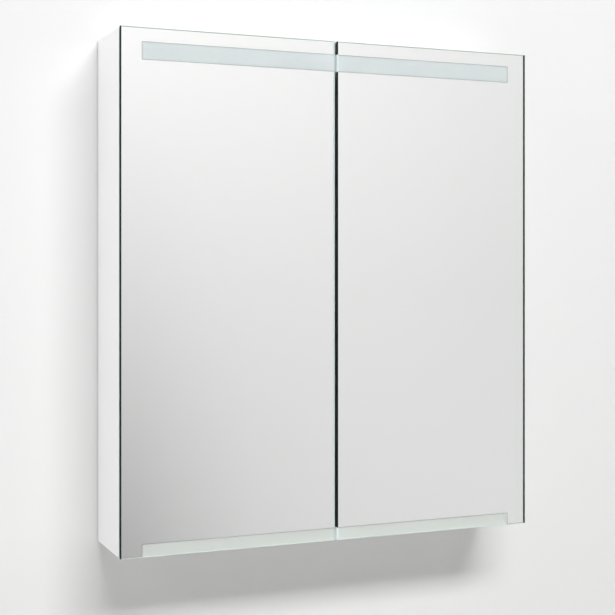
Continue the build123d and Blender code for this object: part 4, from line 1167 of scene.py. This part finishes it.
def card_material():
    """The card's glow: white above, greyer below, darkest at the lower left of the reflection."""
    material = bpy.data.materials.new("studio_card")
    material.use_nodes = True
    tree = material.node_tree
    tree.nodes.remove(tree.nodes["Principled BSDF"])
    link = tree.links.new
    place = tree.nodes.new("ShaderNodeTexCoord")
    parts = tree.nodes.new("ShaderNodeSeparateXYZ")
    link(place.outputs["Object"], parts.inputs["Vector"])
    across = add_node(tree, "ShaderNodeMapRange", From_Min=0.61, From_Max=2.53)
    up = add_node(tree, "ShaderNodeMapRange", From_Min=-0.825, From_Max=1.351)
    link(parts.outputs["X"], across.inputs["Value"])
    link(parts.outputs["Z"], up.inputs["Value"])

    def ramp(stops):
        node = tree.nodes.new("ShaderNodeValToRGB")
        node.color_ramp.interpolation = "B_SPLINE"
        elements = node.color_ramp.elements
        while len(elements) < len(stops):
            elements.new(0.5)
        for element, (position, value) in zip(elements, stops):
            element.position = position
            element.color = (value, value, value, 1)
        return node

    rows = [
        ramp([(0.0, 0.39), (0.12, 0.495), (0.3, 0.625), (0.6, 0.69), (1.0, 0.70)]),
        ramp([(0.0, 0.675), (0.2, 0.755), (0.5, 0.755), (0.7, 0.747), (1.0, 0.705)]),
        ramp([(0.0, 0.97), (0.25, 0.94), (0.6, 0.875), (1.0, 0.785)]),
    ]
    for row in rows:
        link(across.outputs["Result"], row.inputs["Fac"])
    mixed = rows[0].outputs["Color"]
    for index, row in enumerate(rows[1:]):
        part = add_node(tree, "ShaderNodeMapRange", From_Min=index / 2, From_Max=(index + 1) / 2)
        link(up.outputs["Result"], part.inputs["Value"])
        blend = tree.nodes.new("ShaderNodeMix")
        blend.data_type = "RGBA"
        link(part.outputs["Result"], blend.inputs["Factor"])
        link(mixed, blend.inputs["A"])
        link(row.outputs["Color"], blend.inputs["B"])
        mixed = blend.outputs["Result"]
    glow = tree.nodes.new("ShaderNodeEmission")
    glow.inputs["Strength"].default_value = 1.16
    link(mixed, glow.inputs["Color"])
    link(glow.outputs["Emission"], tree.nodes["Material Output"].inputs["Surface"])
    return material


def upright_rectangle(left, right, under, over):
    """Four corners as (x, z), anticlockwise from the lower left."""
    return [(left, under), (right, under), (right, over), (left, over)]


reach, ground = STAGE_REACH, FLOOR_Z
floor_corners = [(x, y, ground) for x, y in upright_rectangle(-reach, reach, -reach, reach)]
stage_plane("floor", floor_corners, floor_material())
# The wall is left open behind the cabinet, so that the cabinet's back is lit when seen from behind.
box_low, box_high = cad_box
hole = upright_rectangle(
    box_low.x + WALL_HOLE_MARGIN, box_high.x - WALL_HOLE_MARGIN,
    box_low.z + WALL_HOLE_MARGIN, box_high.z - WALL_HOLE_MARGIN,
)
around = upright_rectangle(-reach, reach, ground, reach) + hole
stage_plane(
    "wall", [(x, WALL_Y, z) for x, z in around], wall_material(),
    faces=((0, 1, 5, 4), (1, 2, 6, 5), (2, 3, 7, 6), (3, 0, 4, 7)),
)
# The card's corners run the other way round, so that it faces the cabinet.
card_corners = reversed(upright_rectangle(*CARD_X, ground, reach))
card = stage_plane("card", [(x, CARD_Y, z) for x, z in card_corners], card_material())
card.visible_diffuse = False
print("stage ready")

# %% [markdown]
# A white cabinet on a pale wall only reads through small differences of tone. A broad lamp above and
# behind the camera gives the soft shadow under the cabinet. A narrow, tall one on the left lights the
# side panel, and an even pale sky keeps the shadow open.
# The lamps are unseen in the mirrors: what the doors reflect is the card alone.

# %% lights and world
def soft_lamp(name, place, target, width, height, power):
    """A rectangular area lamp aimed at a point, unseen in the mirrors."""
    data = bpy.data.lights.new(name, "AREA")
    data.shape = "RECTANGLE"
    data.size = width
    data.size_y = height
    data.energy = power
    lamp = bpy.data.objects.new(name, data)
    bpy.context.scene.collection.objects.link(lamp)
    lamp.location = place
    aim = Vector(target) - Vector(place)
    lamp.rotation_euler = aim.to_track_quat("-Z", "Y").to_euler()
    lamp.visible_camera = False
    lamp.visible_glossy = False


soft_lamp("key_above", (0.2, -3.4, 2.9), (0, 0, 0.13), 2.8, 0.8, 143)
soft_lamp("fill_left", (-3.2, -0.3, 2.0), (-0.3, -0.06, 0.34), 0.4, 1.2, 35)

world = bpy.data.worlds.new("soft_room")
bpy.context.scene.world = world
world.use_nodes = True
sky = world.node_tree.nodes["Background"]
sky.inputs["Color"].default_value = (0.96, 0.97, 1.0, 1)
sky.inputs["Strength"].default_value = 0.31
bpy.context.scene.view_settings.view_transform = "Standard"

# %% [markdown]
# The camera stands to the front left at half the cabinet's height, level, with a longish lens.
# It is held level so that the cabinet's upright edges stay upright, and the frame is shifted a
# little instead of tilting the camera.

# %% camera
CAMERA_PLACE = (-0.714, -1.721, 0.375)
CAMERA_YAW = math.radians(22.82)
camera_data = bpy.data.cameras.new("camera")
camera_data.lens = 75.2
camera_data.sensor_width = 36
camera_data.shift_x = -0.0013
camera_data.shift_y = -0.0691
camera = bpy.data.objects.new("camera", camera_data)
bpy.context.scene.collection.objects.link(camera)
camera.location = CAMERA_PLACE
camera.rotation_euler = (math.pi / 2, 0, -CAMERA_YAW)
bpy.context.scene.camera = camera
print("camera at", CAMERA_PLACE)
